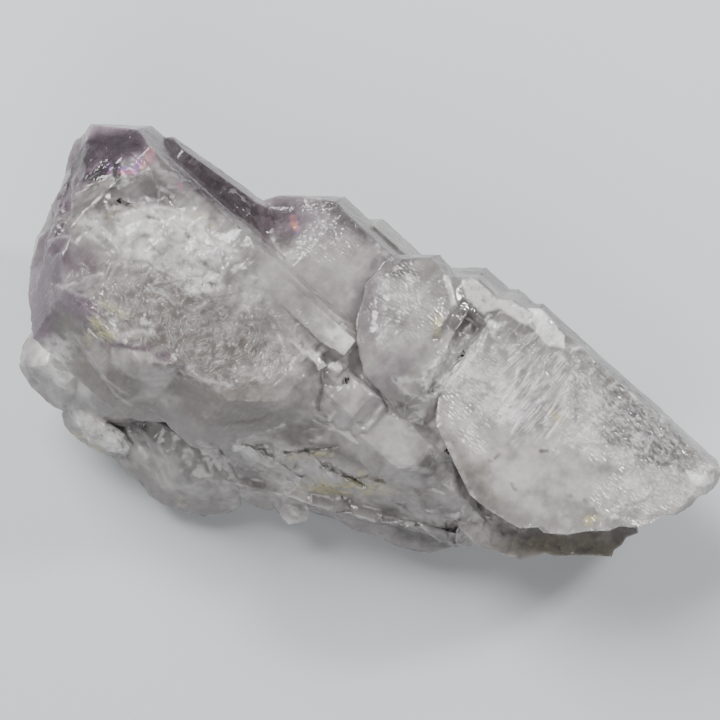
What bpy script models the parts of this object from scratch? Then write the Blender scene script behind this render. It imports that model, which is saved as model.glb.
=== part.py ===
"""A cathedral amethyst: one grown piece of quartz, lying on its broken base.

The crystals of a cathedral quartz grow side by side and share one set of faces. So each crystal
here is cut from a block by the same family of planes, and only its place and its widths differ.
They are joined into one solid with the broken lumps of the base, and the breaks, cracks and
hollows are then cut from it.

The specimen is drawn face on, in millimetres: across to the right, up, and out towards the eye.
At the end it is laid on the table, +Z up, with the origin under the middle of its box, and
scaled to its real length in metres.
"""

import math
from dataclasses import dataclass

import bmesh
import bpy
from mathutils import Matrix, Vector, noise

NODE = "cathedral_amethyst"

# The real length in metres, and the drawing's length in its own millimetres
LENGTH = 0.1415
DRAWN_LENGTH = 141.5

# The eye looks down on the specimen, this far away and this far off the vertical
EYE_DISTANCE = 400.0
LEAN = math.radians(12.0)

# The lattice: the long axis lies across the picture, and the faces turn about it
AXIS_ANGLE = math.radians(138.0)
ROLL = math.radians(15.0)
PYRAMID_ANGLE = math.radians(51.8)
SIDES = 6

OUT = Vector((0.0, 0.0, 1.0))
HEADWARD = Vector((math.cos(AXIS_ANGLE), math.sin(AXIS_ANGLE), 0.0))
TAILWARD = -HEADWARD
SIDEWARD = Vector((math.sin(AXIS_ANGLE), -math.cos(AXIS_ANGLE), 0.0))

# Blocks large enough to hold any of the crystals
BLOCK = 400.0
BLOCK_TOP = 30.0
BLOCK_BOTTOM = -30.0

# A hollow is cut by an egg whose half height is this many times the hollow's depth
EGG_HEIGHT = 4.0
EGG_DETAIL = 3

# Edges shorter than this are closed up
THINNEST = 0.01

# A broken face: chips that step and tilt against each other, sized by the chip's own width
CHIP_STEP = 0.7
CHIP_TILT = 1.6
CHIP_CELL = 0.62
CHIP_WANDER = 0.25

# A broken lump: its edges are split in rounds, then it swells in waves and steps in chips
SPLIT_ROUNDS = 3
LUMP_CELL = 5.0
LUMP_DEPTH = 1.0
LUMP_CHIP = 2.2
LUMP_CHIP_SHARE = 0.45
LUMP_WAVE = 3.14


def seen(across, up, out):
    """The point at this depth that shows at (across, up) on the picture plane."""
    nearer = 1.0 - out / EYE_DISTANCE
    return Vector((across * nearer, up * nearer, out))


def side_normal(index):
    """The outward normal of prism face number index; face 1 faces the eye."""
    angle = ROLL + math.radians(60.0) * (index - 1)
    return math.cos(angle) * OUT + math.sin(angle) * SIDEWARD


def point_normal(index, towards):
    """The outward normal of the pyramid face above or below prism face number index."""
    return math.sin(PYRAMID_ANGLE) * side_normal(index) + math.cos(PYRAMID_ANGLE) * towards


@dataclass
class Crystal:
    """One crystal, in the lattice's own directions.

    side and out place the edge between faces 1 and 2. widths are those of faces 2, 1, 0 and 5.
    head and tail give, for a prism face, how far along the axis its pyramid face starts,
    counted tailward from the origin. twist turns the crystal out of line, in the plane of the
    picture, about the place that pivot gives along the axis.
    """

    side: float
    out: float
    widths: tuple
    head: dict
    tail: dict
    twist: float = 0.0
    pivot: float = 0.0

    def corners(self):
        """The six corners of the cross-section: corner k is where face k starts, going round."""
        width2, width1, width0, width5 = self.widths
        width4 = width2 + width1 - width5
        width3 = width0 - width2 + width5
        corner = self.side * SIDEWARD + self.out * OUT
        corner = corner - width2 * self.along(2)
        found = {}
        for index, width in ((2, width2), (1, width1), (0, width0), (5, width5), (4, width4), (3, width3)):
            found[index] = corner
            corner = corner + width * self.along(index)
        return found

    @staticmethod
    def along(index):
        """The way across prism face number index, from its far corner to the next face."""
        return TAILWARD.cross(side_normal(index))

    def planes(self):
        """Every plane that bounds the crystal, as (point, normal)."""
        corners = self.corners()
        found = [(corners[index], side_normal(index)) for index in range(SIDES)]
        for ends, towards in ((self.head, HEADWARD), (self.tail, TAILWARD)):
            for index, start in ends.items():
                point = corners[index] + start * TAILWARD
                found.append((point, point_normal(index, towards)))
        middle = self.side * SIDEWARD + self.pivot * TAILWARD
        turn = Matrix.Rotation(self.twist, 3, OUT)
        return [(middle + turn @ (point - middle), turn @ normal) for point, normal in found]


def cut_from_block(planes):
    """A bmesh of the convex body that these planes leave of a large block."""
    body = bmesh.new()
    bmesh.ops.create_cube(body, size=BLOCK)
    for point, normal in planes:
        everything = body.verts[:] + body.edges[:] + body.faces[:]
        bmesh.ops.bisect_plane(
            body, geom=everything, dist=1e-4, plane_co=point, plane_no=normal, clear_outer=True
        )
        rim = [edge for edge in body.edges if edge.is_boundary]
        if rim:
            bmesh.ops.holes_fill(body, edges=rim)
    return body


def hull_of(points):
    """A bmesh of the convex body round these points."""
    body = bmesh.new()
    for point in points:
        body.verts.new(point)
    made = bmesh.ops.convex_hull(body, input=body.verts[:])
    spare = [item for item in made["geom_interior"] if isinstance(item, bmesh.types.BMVert)]
    bmesh.ops.delete(body, geom=spare, context="VERTS")
    bmesh.ops.recalc_face_normals(body, faces=body.faces[:])
    return body


def roughen(body, cell, depth, seed):
    """Splits a body's edges down to about this length and breaks its surface up."""
    for _ in range(SPLIT_ROUNDS):
        long_edges = [edge for edge in body.edges if edge.calc_length() > cell]
        bmesh.ops.subdivide_edges(body, edges=long_edges, cuts=1)
        bmesh.ops.triangulate(body, faces=body.faces[:])
    body.normal_update()
    shift = Vector((17.3, 5.1, 9.7)) * seed
    moves = {}
    for vert in body.verts:
        place = vert.co + shift
        chip = noise.cell_vector(place / (cell * LUMP_CHIP)) - Vector((0.5, 0.5, 0.5))
        wave = noise.fractal(place / (cell * LUMP_WAVE), 0.9, 2.1, 3)
        moves[vert] = vert.normal * depth * wave + chip * depth * LUMP_CHIP_SHARE
    for vert, move in moves.items():
        vert.co += move
    return body


def object_from(body, name):
    """Turns a bmesh into a linked object and frees the bmesh."""
    bmesh.ops.triangulate(body, faces=body.faces[:])
    mesh = bpy.data.meshes.new(name)
    body.to_mesh(mesh)
    body.free()
    made = bpy.data.objects.new(name, mesh)
    bpy.context.scene.collection.objects.link(made)
    return made


def combine(target, tool, operation):
    """Joins the tool to the target, cuts it off or keeps what both hold, and removes the tool."""
    modifier = target.modifiers.new(operation, "BOOLEAN")
    modifier.operation = operation
    modifier.solver = "EXACT"
    modifier.object = tool
    evaluated = target.evaluated_get(bpy.context.evaluated_depsgraph_get())
    result = bpy.data.meshes.new_from_object(evaluated)
    target.modifiers.clear()
    target.data = result
    bpy.data.objects.remove(tool)


def chip_height(place, seed):
    """How far a break stands out here: flat chips, each with its own tilt and step."""
    spot = Vector((place.x, place.y, seed * 3.7))
    chip = noise.voronoi(spot)[1][0]
    tilt = noise.cell_vector(chip * 31.0) - Vector((0.5, 0.5, 0.5))
    step = noise.cell(chip * 57.0) - 0.5
    across = spot - chip
    return step * CHIP_STEP + (tilt.x * across.x + tilt.y * across.y) * CHIP_TILT


def break_cutter(point, normal, reach, depth, chip, seed):
    """A block with one rough face, to break a crystal off along a plane."""
    body = bmesh.new()
    cells = round(2 * reach / (chip * CHIP_CELL))
    bmesh.ops.create_grid(body, x_segments=cells, y_segments=cells, size=reach)
    for vert in body.verts:
        place = vert.co / chip
        vert.co.z = depth * chip_height(place, seed)
        vert.co.x += CHIP_WANDER * chip * noise.noise(place * 1.3)
        vert.co.y += CHIP_WANDER * chip * noise.noise(place * 1.3 + Vector((9.0, 4.0, 2.0)))
    rim = [edge for edge in body.edges if edge.is_boundary]
    lifted = bmesh.ops.extrude_edge_only(body, edges=rim)["geom"]
    for vert in (item for item in lifted if isinstance(item, bmesh.types.BMVert)):
        vert.co.z = 2.0 * reach
    mouth = [item for item in lifted if isinstance(item, bmesh.types.BMEdge)]
    bmesh.ops.contextual_create(body, geom=mouth)
    bmesh.ops.recalc_face_normals(body, faces=body.faces[:])
    turn = Vector(normal).to_track_quat("Z", "Y").to_matrix().to_4x4()
    body.transform(Matrix.Translation(point) @ turn)
    return body


def scoop(point, normal, lengthwise, length, width, depth):
    """An egg that hollows a flat face out by this depth, over this length and width."""
    crosswise = normal.cross(lengthwise)
    height = depth * EGG_HEIGHT
    spread = 0.5 / math.sqrt(1.0 - (1.0 - 1.0 / EGG_HEIGHT) ** 2)
    body = bmesh.new()
    bmesh.ops.create_icosphere(body, subdivisions=EGG_DETAIL, radius=1.0)
    frame = Matrix((lengthwise, crosswise, normal)).transposed().to_4x4()
    sizes = Matrix.Diagonal(Vector((length * spread, width * spread, height))).to_4x4()
    body.transform(Matrix.Translation(point + normal * (height - depth)) @ frame @ sizes)
    return body


def face_scoop(place, level, length, width, depth, angle):
    """A scoop in a face-1 plane of this level; angle turns it from the crystal's long axis."""
    normal = side_normal(1)
    lengthwise = Matrix.Rotation(angle, 3, normal) @ TAILWARD
    return scoop(on_face(*place, level), normal, lengthwise, length, width, depth)


def outline_block(outline, level, slope):
    """A block with this outline where it cuts a face-1 plane; its wall leans by slope below that."""
    body = bmesh.new()
    rings = [
        [body.verts.new(seen(across, up, BLOCK_TOP)) for across, up in outline],
        [body.verts.new(on_face(across, up, level)) for across, up in outline],
        [body.verts.new(seen(across + slope[0], up + slope[1], BLOCK_BOTTOM)) for across, up in outline],
    ]
    body.faces.new(rings[0])
    body.faces.new(rings[2])
    for upper, lower in zip(rings, rings[1:]):
        for index in range(len(outline)):
            body.faces.new((upper[index - 1], upper[index], lower[index], lower[index - 1]))
    bmesh.ops.triangulate(body, faces=body.faces[:])
    bmesh.ops.recalc_face_normals(body, faces=body.faces[:])
    return body


def on_face(across, up, level, above=0.0):
    """The point seen at (across, up) that lies on a face-1 plane of this level, or above it."""
    side = SIDEWARD.x * across + SIDEWARD.y * up
    slope = math.tan(ROLL)
    out = (level - slope * side) / (1.0 - slope * side / EYE_DISTANCE)
    return seen(across, up, out + above)


# The crystals, from the head to the tail
HEAD = Crystal(
    side=3.4, out=12.0, widths=(14.0, 32.0, 17.4, 20.0),
    head={1: -58.0, 2: -62.5, 3: -62.5, 0: -50.6, 5: -50.6, 4: -56.0},
    tail={1: -8.0, 0: -30.5, 5: -24.0, 2: 4.0, 3: 4.0, 4: -6.0},
)
HEAD_SKIRT = Crystal(
    side=3.0, out=11.7, widths=(12.0, 26.4, 17.6, 12.0),
    head={1: -48.0, 2: -48.0, 3: -48.0, 0: -40.0, 5: -40.0},
    tail={1: -6.0, 0: -13.4, 5: -12.0, 2: 0.0, 3: 0.0},
)
HEAD_LEVEL = 12.9
APEX_BREAK = (-61.4, 34.0, -6.0)
APEX_BREAK_NORMAL = (-0.87, 0.37, 0.36)
APEX_REACH = 34.0
APEX_DEPTH = 1.8
APEX_CHIP = 5.5
BODY = {
    "flank": Crystal(
        side=8.2, out=3.6, widths=(5.0, 14.0, 10.0, 10.0),
        head={1: -54.0, 2: -57.6, 3: -57.6, 4: -48.0},
        tail={1: -36.0, 2: -34.0, 3: -34.0, 4: -30.0},
        twist=math.radians(6.4), pivot=-47.8,
    ),
    "second": Crystal(
        side=19.7, out=4.0, widths=(11.2, 23.0, 14.0, 19.0),
        head={1: -22.0, 2: -24.6, 3: -24.6, 0: -22.0, 4: -20.0},
        tail={1: 24.0, 2: 20.0, 3: 20.0, 0: 24.0, 4: 18.0},
    ),
    "third": Crystal(
        side=21.9, out=-2.5, widths=(11.2, 26.0, 12.0, 12.0),
        head={1: -16.0, 2: -16.0, 3: -16.0, 0: -16.0},
        tail={1: 24.0, 2: 20.0, 3: 20.0, 0: 24.0},
    ),
    "fourth": Crystal(
        side=24.0, out=-1.0, widths=(11.0, 26.0, 12.0, 14.0),
        head={1: -2.6, 2: -2.6, 3: -2.6, 0: -2.6, 4: 2.0},
        tail={1: 30.0, 2: 34.0, 3: 34.0, 0: 30.0, 4: 30.0},
    ),
    "under_head": Crystal(
        side=-4.0, out=-6.0, widths=(10.0, 22.0, 10.0, 12.0),
        head={1: -40.0, 2: -44.0, 3: -44.0, 0: -40.0, 4: -40.0, 5: -40.0},
        tail={1: 6.0, 2: 6.0, 3: 6.0, 0: 0.0, 4: 0.0, 5: 0.0},
    ),
    "under_tail": Crystal(
        side=24.0, out=-5.0, widths=(9.0, 22.0, 10.0, 10.0),
        head={1: 10.0, 2: 10.0, 3: 10.0, 0: 10.0, 4: 14.0},
        tail={1: 50.0, 2: 54.0, 3: 54.0, 0: 46.0, 4: 44.0, 5: 44.0},
    ),
}
TAIL_LEVEL = 13.8
TAIL = {
    "fifth": Crystal(
        side=27.5, out=6.3, widths=(14.5, 40.0, 12.0, 14.0),
        head={1: 5.0, 2: 6.6, 3: 6.6, 0: 8.0},
        tail={1: 50.0, 2: 50.0, 3: 50.0, 0: 50.0},
    ),
    "sixth": Crystal(
        side=29.2, out=6.0, widths=(12.0, 40.0, 12.0, 12.0),
        head={1: 14.3, 2: 14.3, 3: 14.3, 0: 14.3},
        tail={1: 56.0, 2: 56.0, 3: 56.0, 0: 50.0, 5: 50.0},
    ),
    "tail": Crystal(
        side=30.9, out=5.7, widths=(8.5, 40.0, 12.0, 12.0),
        head={1: 19.8, 2: 19.8, 3: 19.8, 0: 19.8},
        tail={1: 66.0, 2: 69.0, 3: 69.0, 0: 60.0, 5: 60.0},
    ),
}
STAIRS = {
    "small_stair": Crystal(
        side=-3.4, out=12.6, widths=(3.0, 3.0, 3.0, 3.0),
        head={1: -3.4, 2: -3.4, 3: -3.4, 0: -3.4},
        tail={1: 0.2, 2: 1.2, 3: 1.2, 0: 0.2},
    ),
    "first_stair": Crystal(
        side=-3.2, out=12.4, widths=(8.0, 6.0, 6.0, 8.0),
        head={1: 0.6, 2: 0.6, 3: 0.6, 0: 0.6},
        tail={1: 6.3, 2: 8.4, 3: 8.4, 0: 6.3},
    ),
    "second_stair": Crystal(
        side=-3.6, out=10.4, widths=(8.0, 6.4, 6.0, 8.0),
        head={1: 0.0, 2: 0.0, 3: 0.0, 0: 0.0},
        tail={1: 9.2, 2: 11.0, 3: 11.0, 0: 9.2},
    ),
    "last_stair": Crystal(
        side=-2.4, out=8.8, widths=(8.0, 8.6, 6.0, 8.0),
        head={1: -5.0, 2: -5.0, 3: -5.0, 0: -5.0},
        tail={1: 22.0, 2: 22.4, 3: 22.4, 0: 18.6, 5: 18.6},
    ),
}
LEDGE = Crystal(
    side=20.0, out=-8.4, widths=(8.0, 38.0, 8.0, 8.0),
    head={1: 6.0, 2: 10.0, 3: 10.0, 0: 6.0},
    tail={1: 66.0, 2: 56.0, 3: 56.0, 0: 70.0, 5: 70.0, 4: 50.0},
)
LEDGE_OUTLINE = [
    (14.0, -20.0), (20.0, -34.0), (24.0, -37.6), (28.0, -38.6), (32.0, -39.8), (35.0, -39.2), (37.0, -38.6),
    (39.0, -39.2), (44.6, -39.0), (50.4, -39.4), (50.8, -38.0), (52.4, -37.0), (53.2, -35.6), (55.6, -34.6),
    (58.0, -33.0), (60.0, -26.0), (40.0, 10.0),
]
LEDGE_LEVEL = -4.0
LEDGE_SLOPE = (-2.0, 6.0)

# The broken outline of the tail's lower side; the rest of this outline runs clear of the crystal
TAIL_OUTLINE = [
    (16.0, 30.0), (13.0, 6.0), (16.0, -7.0), (15.2, -12.8), (17.6, -18.0), (22.0, -27.0), (25.2, -29.6),
    (29.0, -32.0), (32.0, -33.8), (35.6, -33.6), (37.0, -34.8), (42.0, -35.0), (46.0, -34.2), (50.0, -34.2),
    (52.0, -33.2), (56.0, -33.6), (59.0, -32.4), (60.6, -31.0), (63.4, -31.0), (66.0, -30.0), (67.6, -28.2),
    (69.0, -28.0), (71.6, -26.2), (72.4, -23.6), (80.0, -16.0), (68.0, 20.0), (40.0, 44.0),
]
TAIL_SLOPE = (-4.0, 14.0)

# The blade and the splinter that rise from the head's face, as (across, up, height over it)
BLADE = [
    (-19.0, 20.0, -0.4), (-20.0, 15.0, -0.4), (-0.9, 3.9, 1.4), (-3.1, 0.8, 1.5), (-7.8, 3.6, 1.2),
    (-19.0, 20.0, -6.0), (-20.0, 15.0, -6.0), (-0.9, 3.9, -6.0), (-3.1, 0.8, -6.0), (-7.8, 3.6, -6.0),
]
SPLINTER = [
    (-13.6, 6.4, -0.3), (-12.6, 6.6, -0.3), (-6.4, -1.2, 1.2), (-8.2, -2.4, 1.0), (-8.6, -1.2, 1.2),
    (-13.4, 5.8, -4.0), (-6.4, -1.2, -4.0), (-8.2, -2.4, -4.0),
]

# The rounded crystal beside the tail: corners as (across, up, height over the tail's face)
BULGE = [
    (8.6, 20.2, -1.4), (5.4, 17.2, -0.6), (3.4, 13.0, -0.2), (2.6, 6.4, 0.0), (3.8, 1.2, 0.1),
    (6.4, -3.4, 0.0), (9.4, -6.6, -0.4), (12.4, -8.0, -0.8), (15.4, -7.2, -0.2), (18.4, -1.0, 0.9),
    (21.6, 2.6, 0.6), (24.6, 7.4, -0.4), (19.4, 12.6, 0.4), (18.0, 16.4, 0.2), (13.6, 20.4, -0.6),
    (6.6, 20.8, -5.0), (1.2, 15.6, -3.4), (-0.4, 9.0, -2.6), (-0.8, 3.4, -2.4), (0.8, -2.8, -2.8),
    (4.8, -7.6, -3.6), (8.6, -12.0, -4.6), (12.6, -13.4, -4.6), (17.0, -10.0, -4.0), (22.0, 0.0, -4.0),
    (26.0, 8.0, -4.0), (16.0, 21.0, -5.0), (-0.6, 3.4, -10.0), (9.6, 12.0, 1.0), (12.0, -3.0, 0.9),
    (7.0, 2.0, 1.2), (14.4, 10.0, 1.4), (12.0, -12.0, -12.0), (8.0, 18.0, -12.0), (24.0, 8.0, -12.0),
]
BULGE_CELL = 6.0
BULGE_ROUGHNESS = 0.3

# The groove between that crystal and the tail
GROOVE = [
    (11.2, -7.8, 3.0), (14.4, -9.6, 3.0), (27.8, 8.4, 3.0), (23.0, 12.4, 3.0),
    (14.6, -6.2, -2.0), (23.6, 6.6, -2.4), (21.0, 8.4, -1.6),
]

# The broken lumps of the base: outline corners as (across, up, out)
LUMPS = {
    "left_knob": [
        (-65.4, 5.4, -6.0), (-67.4, 3.0, -7.0), (-68.4, -1.0, -7.0), (-66.8, -5.0, -8.0), (-63.0, -8.6, -9.0),
        (-59.4, -10.6, -9.0), (-54.0, -9.0, -5.0), (-55.0, -2.0, 0.4), (-61.0, 4.6, -1.0), (-62.6, -1.0, 1.2),
        (-65.0, -1.0, -0.6), (-60.0, -2.0, -18.0), (-56.0, -8.0, -18.0), (-59.0, -6.0, 0.0),
    ],
    "white_ridge": [
        (-60.0, -10.2, -10.0), (-59.0, -13.0, -11.0), (-55.0, -16.4, -12.0), (-51.0, -19.0, -12.0),
        (-47.0, -19.6, -10.0), (-44.8, -18.0, -8.0), (-47.0, -15.0, -4.4), (-51.0, -12.0, -3.8),
        (-56.0, -9.6, -4.4), (-50.0, -14.0, -18.0), (-53.0, -14.6, -4.0), (-48.0, -17.6, -4.6),
    ],
    "left_lobe": [
        (-52.0, -15.0, -13.0), (-46.0, -23.0, -14.0), (-42.0, -27.4, -14.0), (-39.0, -29.0, -14.0),
        (-34.0, -29.6, -14.0), (-31.0, -30.8, -14.0), (-26.0, -30.6, -14.0), (-23.6, -29.4, -13.0),
        (-23.4, -28.0, -10.0), (-25.0, -18.0, -3.0), (-34.4, -14.4, -1.4), (-46.0, -11.0, -3.4),
        (-36.0, -22.0, -3.2), (-40.0, -18.0, -21.0), (-28.0, -24.0, -21.0), (-30.0, -26.0, -6.0),
    ],
    "finger": [
        (-18.0, -28.0, -9.0), (-14.4, -32.6, -9.0), (-11.0, -32.0, -8.0), (-10.4, -30.4, -7.0),
        (-11.4, -26.0, -5.0), (-12.0, -24.0, -4.0), (-17.0, -25.0, -5.0), (-15.0, -20.0, -5.0),
        (-13.0, -25.0, -12.0),
    ],
    "lower_lobe": [
        (-29.0, -17.0, -4.0), (-25.0, -15.4, 1.4), (-23.6, -28.0, -10.0), (-20.0, -29.6, -11.0),
        (-18.0, -30.0, -11.0), (-10.0, -26.0, -4.0), (-10.0, -20.0, 1.0), (-18.0, -17.6, 2.6),
        (-16.0, -24.0, -18.0), (-14.0, -23.0, -0.6),
    ],
    "ridge": [
        (-27.6, -16.2, 5.2), (-22.0, -17.4, 5.6), (-16.0, -20.6, 3.4), (-11.4, -24.0, 0.6),
        (-29.0, -15.0, -3.0), (-10.0, -22.0, -4.0), (-26.0, -20.4, -2.0), (-14.0, -25.4, -6.0),
    ],
    "middle": [
        (-27.0, -11.0, 7.0), (-14.0, -10.0, 11.6), (-6.0, -12.0, 11.0), (0.0, -14.0, 9.6), (8.0, -18.0, 8.0),
        (14.0, -21.0, 7.0), (20.0, -27.0, 5.4), (17.0, -12.0, 8.4), (-12.0, -29.0, -9.0),
        (-6.0, -31.6, -11.0), (-1.0, -32.8, -12.0), (3.0, -35.0, -12.0), (-8.0, -23.0, 3.0),
        (8.0, -27.0, 3.0), (20.0, -32.0, 1.0), (26.0, -33.0, -2.0), (-8.0, -22.0, -20.0),
        (18.0, -28.0, -22.0), (-24.0, -18.0, -16.0),
    ],
    "glass_lobe": [
        (-1.0, -32.6, -11.0), (3.0, -34.8, -11.0), (8.0, -37.8, -11.0), (14.0, -38.8, -10.0),
        (19.0, -37.6, -9.0), (14.0, -34.0, -2.6), (4.0, -31.0, -2.0), (20.0, -35.0, -3.0),
        (8.0, -30.0, -20.0), (18.0, -30.0, -20.0),
    ],
    "round_lobe": [
        (19.0, -37.4, -8.0), (22.0, -37.0, -8.0), (26.0, -36.6, -7.0), (27.6, -34.4, -6.0),
        (26.0, -31.6, -2.0), (20.0, -31.0, 1.0), (19.0, -35.0, -2.0), (24.0, -35.0, -2.0),
        (22.0, -30.0, -16.0),
    ],
}

# Hollows broken out of the faces: (across, up), level, length, width, depth and turn
HEAD_HOLLOWS = [
    ((-37.0, 12.0), HEAD_LEVEL, 52.0, 30.0, 2.2, 0.0),
    ((-34.0, 30.0), HEAD_LEVEL, 30.0, 13.0, 1.5, 0.35),
    ((-24.0, 3.0), HEAD_LEVEL, 26.0, 17.0, 1.6, 0.2),
]
TAIL_HOLLOWS = [
    ((27.0, -3.0), TAIL_LEVEL, 34.0, 18.0, 0.6, 1.0),
]

# Stained cracks in the lower side: their ends as (across, up, out), narrowing to the last two
CRACKS = [
    [(-16.0, -18.0, 9.0), (-15.6, -19.2, 9.0), (-2.6, -16.6, 13.0), (-2.8, -17.8, 13.0),
     (-14.8, -18.6, 2.4), (-3.6, -17.2, 7.0)],
    [(-8.0, -20.0, 9.0), (-8.4, -21.2, 9.0), (-3.6, -22.8, 9.0), (1.6, -25.2, 9.0), (1.0, -26.4, 9.0),
     (-3.4, -21.4, 9.0), (-7.6, -20.8, 3.0), (-3.8, -22.2, 3.0), (0.8, -25.6, 1.0)],
]

# The broken base under it all, as (across, depth) with the specimen lying down
BASE = [
    (-46.0, -10.0), (-34.0, -22.0), (-16.0, -26.0), (4.0, -31.0), (24.0, -33.0), (44.0, -30.0),
    (52.0, -24.0), (48.0, -14.0), (34.0, 2.0), (10.0, 14.0), (-14.0, 22.0), (-36.0, 22.0), (-46.0, 8.0),
]
BASE_LEVEL = -25.0
BASE_TOP = -10.0
BASE_CELL = 7.0
BASE_ROUGHNESS = 1.5
TABLE_LEVEL = -25.2

# Hollows in the base's underside: (across, depth), length, width, depth and turn
BASE_HOLLOWS = [
    ((-30.0, -2.0), 34.0, 18.0, 2.4, 0.5),
    ((-16.0, 20.0), 38.0, 14.0, 2.8, -0.3),
    ((14.0, 4.0), 26.0, 18.0, 2.0, 1.2),
    ((38.0, -12.0), 30.0, 17.0, 2.6, 0.3),
    ((10.0, -28.0), 40.0, 12.0, 2.4, -0.1),
]

# The middle of the underside of the specimen's box, as (across, depth, height)
MIDDLE = Vector((1.25, 3.75, TABLE_LEVEL))

# Pale lilac quartz, glossy
COLOUR = (0.58, 0.54, 0.59, 1.0)
ROUGHNESS = 0.2


def grown(crystals, name):
    """One solid of these crystals."""
    blocks = [object_from(cut_from_block(crystal.planes()), name) for crystal in crystals]
    for block in blocks[1:]:
        combine(blocks[0], block, "UNION")
    return blocks[0]


def table_block():
    """The space below the table's top."""
    body = bmesh.new()
    bmesh.ops.create_cube(body, size=BLOCK)
    bmesh.ops.translate(body, verts=body.verts, vec=(0.0, 0.0, TABLE_LEVEL - BLOCK / 2.0))
    return body


def shell_of(vert):
    """Every vert of the closed surface that this vert is part of."""
    found = {vert}
    waiting = [vert]
    while waiting:
        here = waiting.pop()
        for edge in here.link_edges:
            there = edge.other_vert(here)
            if there not in found:
                found.add(there)
                waiting.append(there)
    return found


def make_sound(specimen):
    """Fills the pockets closed off between the joined crystals and removes needle-thin faces."""
    body = bmesh.new()
    body.from_mesh(specimen.data)
    outside = shell_of(min(body.verts, key=lambda vert: vert.co.x))
    pockets = [vert for vert in body.verts if vert not in outside]
    bmesh.ops.delete(body, geom=pockets, context="VERTS")
    bmesh.ops.triangulate(body, faces=body.faces[:])
    bmesh.ops.dissolve_degenerate(body, edges=body.edges[:], dist=THINNEST)
    bmesh.ops.triangulate(body, faces=body.faces[:])
    bmesh.ops.recalc_face_normals(body, faces=body.faces[:])
    body.to_mesh(specimen.data)
    body.free()


def quartz():
    """The specimen's material."""
    made = bpy.data.materials.new("quartz")
    made.use_nodes = True
    shader = made.node_tree.nodes["Principled BSDF"]
    shader.inputs["Base Color"].default_value = COLOUR
    shader.inputs["Metallic"].default_value = 0.0
    shader.inputs["Roughness"].default_value = ROUGHNESS
    made.diffuse_color = COLOUR
    return made


def make_head():
    """The head: the widest crystal, its apex broken off and its face hollowed."""
    head = grown([HEAD, HEAD_SKIRT], "head")
    apex_break = break_cutter(seen(*APEX_BREAK), APEX_BREAK_NORMAL, APEX_REACH, APEX_DEPTH, APEX_CHIP, 1)
    combine(head, object_from(apex_break, "apex_break"), "DIFFERENCE")
    for hollow in HEAD_HOLLOWS:
        combine(head, object_from(face_scoop(*hollow), "hollow"), "DIFFERENCE")
    return head


def make_tail():
    """The tail: three crystals side by side, broken along their lower side."""
    tail = grown(TAIL.values(), "tail")
    outline = object_from(outline_block(TAIL_OUTLINE, TAIL_LEVEL, TAIL_SLOPE), "outline")
    combine(tail, outline, "INTERSECT")
    for hollow in TAIL_HOLLOWS:
        combine(tail, object_from(face_scoop(*hollow), "hollow"), "DIFFERENCE")
    return tail


def make_ledge():
    """The ledge that shows below the tail."""
    ledge = grown([LEDGE], "ledge")
    outline = object_from(outline_block(LEDGE_OUTLINE, LEDGE_LEVEL, LEDGE_SLOPE), "outline")
    combine(ledge, outline, "INTERSECT")
    return ledge


def raised(corners, level, name):
    """A small body whose corners are given by their height over a face-1 plane."""
    return object_from(hull_of([on_face(across, up, level, above) for across, up, above in corners]), name)


def make_base(stand):
    """The broken base that the specimen lies on, in the upright frame."""
    foot = [Vector((across, depth, BASE_LEVEL)) for across, depth in BASE]
    shoulder = [Vector((across, depth, BASE_TOP)) for across, depth in BASE]
    base = roughen(hull_of(foot + shoulder), BASE_CELL, BASE_ROUGHNESS, 20)
    base.transform(stand.inverted())
    return object_from(base, "base")


def main():
    """Builds the specimen and lays it on the table."""
    for old in list(bpy.data.objects):
        bpy.data.objects.remove(old)
    specimen = grown(BODY.values(), NODE)
    combine(specimen, make_head(), "UNION")
    for crystal in STAIRS.values():
        combine(specimen, grown([crystal], "stair"), "UNION")
    combine(specimen, raised(BLADE, HEAD_LEVEL, "blade"), "UNION")
    combine(specimen, raised(SPLINTER, HEAD_LEVEL, "splinter"), "UNION")
    combine(specimen, make_tail(), "UNION")
    bulge = hull_of([on_face(across, up, TAIL_LEVEL, above) for across, up, above in BULGE])
    combine(specimen, object_from(roughen(bulge, BULGE_CELL, BULGE_ROUGHNESS, 2), "bulge"), "UNION")
    combine(specimen, raised(GROOVE, TAIL_LEVEL, "groove"), "DIFFERENCE")
    combine(specimen, make_ledge(), "UNION")
    for seed, (name, corners) in enumerate(LUMPS.items()):
        lump = roughen(hull_of([seen(*corner) for corner in corners]), LUMP_CELL, LUMP_DEPTH, seed + 3)
        combine(specimen, object_from(lump, name), "UNION")
    for corners in CRACKS:
        crack = hull_of([seen(*corner) for corner in corners])
        combine(specimen, object_from(crack, "crack"), "DIFFERENCE")

    stand = Matrix.Rotation(LEAN, 4, "X")
    combine(specimen, make_base(stand), "UNION")
    specimen.data.transform(stand)
    combine(specimen, object_from(table_block(), "table"), "DIFFERENCE")
    for (across, depth), length, width, hollow, turn in BASE_HOLLOWS:
        lengthwise = Vector((math.cos(turn), math.sin(turn), 0.0))
        point = Vector((across, depth, TABLE_LEVEL))
        egg = scoop(point, -OUT, lengthwise, length, width, hollow)
        combine(specimen, object_from(egg, "hollow"), "DIFFERENCE")

    make_sound(specimen)
    specimen.data.transform(Matrix.Scale(LENGTH / DRAWN_LENGTH, 4) @ Matrix.Translation(-MIDDLE))
    specimen.data.materials.clear()
    specimen.data.materials.append(quartz())


main()
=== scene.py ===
"""The looks of a cathedral amethyst: milky lilac quartz, see-through where it is clear.

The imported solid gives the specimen's form. Its skin is a finer copy of that form, with the relief
that growth and breakage leave on quartz: striations, etched fibres, scallops, chips and grain.
Where each kind of skin lies is set by zones and strokes, placed on the surface through the
picture's pixels.
"""

import logging
import math
from dataclasses import dataclass, field
from enum import Enum
from typing import Callable, Iterable

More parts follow.
